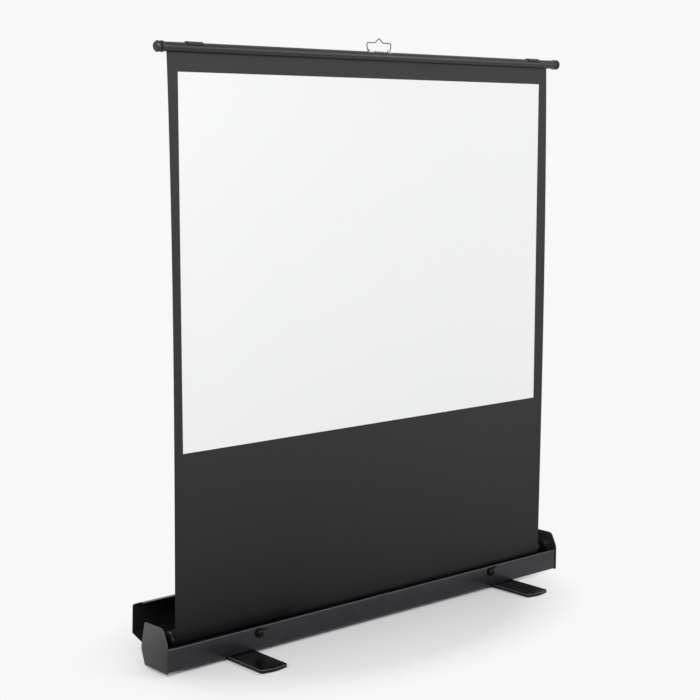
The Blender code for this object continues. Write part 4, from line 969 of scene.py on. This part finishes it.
knob_profile = [tuple(p)[:2] for p in eased_corners([(*p, 0.0) for p in knob_sketch], knob_turns)]
for side, name in ((-1, "left"), (1, "right")):
    knob = lathed(f"slat_knob_{name}_finished", knob_profile, knob_plastic, steps=80)
    mirrored = Matrix.Diagonal((side, 1, 1, 1))
    at_end = Matrix.Translation((side * SLAT_LENGTH / 2, CLOTH_Y, SLAT_Z))
    placed(creased(knob, 50), at_end @ mirrored)
    stands_for(knob, f"slat_knob_{name}")


# The pull bail: one piece of browned steel wire, bent to a low crown for two fingers or a
# hooked pole, its feet turned into the eyes of two small pressed saddles on the slat.
BAIL_WIRE = 0.0019
BAIL_AXIS = 1.9387
BAIL_TOP = 1.9345
BAIL_SHOULDER = 0.031
BAIL_PEAK = 0.046
BAIL_EYE = 0.0401
BAIL_KNEE = 0.049
BAIL_SIDE = 0.0531
BAIL_SPLAY = 0.011
BAIL_CROWN = 0.018

bail_steel = drawn_metal("browned_wire", (0.13, 0.13, 0.13), gloss=0.34, along=2, dull=0.06)
saddle_steel = drawn_metal("saddle_steel", (0.60, 0.61, 0.62), gloss=0.30, along=0)
shoulder_z = BAIL_TOP + BAIL_SHOULDER - BAIL_WIRE
peak_z = BAIL_TOP + BAIL_PEAK - BAIL_WIRE
half = [(BAIL_EYE, BAIL_AXIS), (BAIL_KNEE, BAIL_AXIS), (BAIL_SIDE, BAIL_AXIS + BAIL_SPLAY),
        (BAIL_SIDE, shoulder_z), (BAIL_CROWN, shoulder_z), (0.0, peak_z)]
corners = [(x, CLOTH_Y, z) for x, z in half]
corners += [(-x, y, z) for x, y, z in reversed(corners[:-1])]
turns = [0, 0.002, 0.006, 0.006, 0.010, 0.006, 0.010, 0.006, 0.006, 0.002, 0]
bail = wire_jig.make("bail_wire", bail_steel,
                     polyline("bail_route", eased_corners(corners, turns, steps=8)),
                     Radius=BAIL_WIRE, Sides=20)
stands_for(creased(bail, 40), "bail")
for side in ("left", "right"):
    dressed(f"bail_bracket_{side}", saddle_steel, crease=35)


# The mast: three rectangular aluminium tubes, one in another, that stand behind the cloth. The
# lowest sits in a moulded socket screwed to the trough's floor and held by a thumbscrew.
mast_metal = drawn_metal("mast_aluminium", (0.58, 0.59, 0.60), gloss=0.36, along=2)
for node in ("mast_lower", "mast_middle", "mast_top"):
    dressed(node, mast_metal, crease=30)
head_metal = drawn_metal("cradle_aluminium", (0.60, 0.61, 0.62), gloss=0.40, along=0)
dressed("mast_head", head_metal, edge=0.0004)
socket_plastic = moulded("socket_plastic", (0.020, 0.020, 0.021), (0.055, 0.055, 0.055), gloss=0.46)
dressed("mast_socket", socket_plastic, edge=0.0004)
screw_plastic = moulded("thumbscrew_plastic", (0.014, 0.014, 0.015), (0.05, 0.05, 0.05), gloss=0.40)
dressed("socket_screw", screw_plastic, edge=0.0002)


# The mast clamps: a moulded collar on the top of each outer tube, with two ears and a cam lever
# that squeezes the next tube when it is pressed flat.
collar_plastic = moulded("collar_plastic", (0.017, 0.017, 0.018), (0.055, 0.055, 0.056), gloss=0.42)
cam_plastic = moulded("cam_lever_plastic", (0.012, 0.012, 0.013), (0.050, 0.050, 0.050), gloss=0.36)
for place in ("lower", "upper"):
    dressed(f"mast_collar_{place}", collar_plastic, edge=0.0004)
    dressed(f"mast_lever_{place}", cam_plastic, edge=0.0004)


# The feet: two flat steel bars, 474 mm long, each turning on one bolt under the trough. The edges
# are broken before powder coating, and a rubber pad is stuck under each tip.
FOOT_EDGE = 0.0005
# The feet's edge colour is a painted highlight on their sloping edges and tip chamfers.
FOOT_PAINTED_HIGHLIGHT = (0.300, 0.300, 0.305)

foot_coat = powder_coat("foot_powder_coat", (0.0018, 0.0018, 0.0022), (0.030, 0.030, 0.032),
                        gloss=0.25, along=1, peel=0.00006, edges=FOOT_PAINTED_HIGHLIGHT, shine=0.20)
pad_rubber = moulded("pad_rubber", (0.010, 0.010, 0.010), (0.030, 0.030, 0.030), gloss=0.80,
                     grain=0.0001, fineness=800.0)
bolt_steel = drawn_metal("zinc_plated_steel", (0.52, 0.52, 0.50), gloss=0.32, along=2)
for side in ("left", "right"):
    dressed(f"foot_{side}", foot_coat, FOOT_EDGE, crease=30)
    for tip in ("front", "rear"):
        dressed(f"foot_{side}_pad_{tip}", pad_rubber, edge=0.0004)
    dressed(f"foot_bolt_{side}", bolt_steel, edge=0.0002)
    dressed(f"foot_nut_{side}", bolt_steel, edge=0.0002)
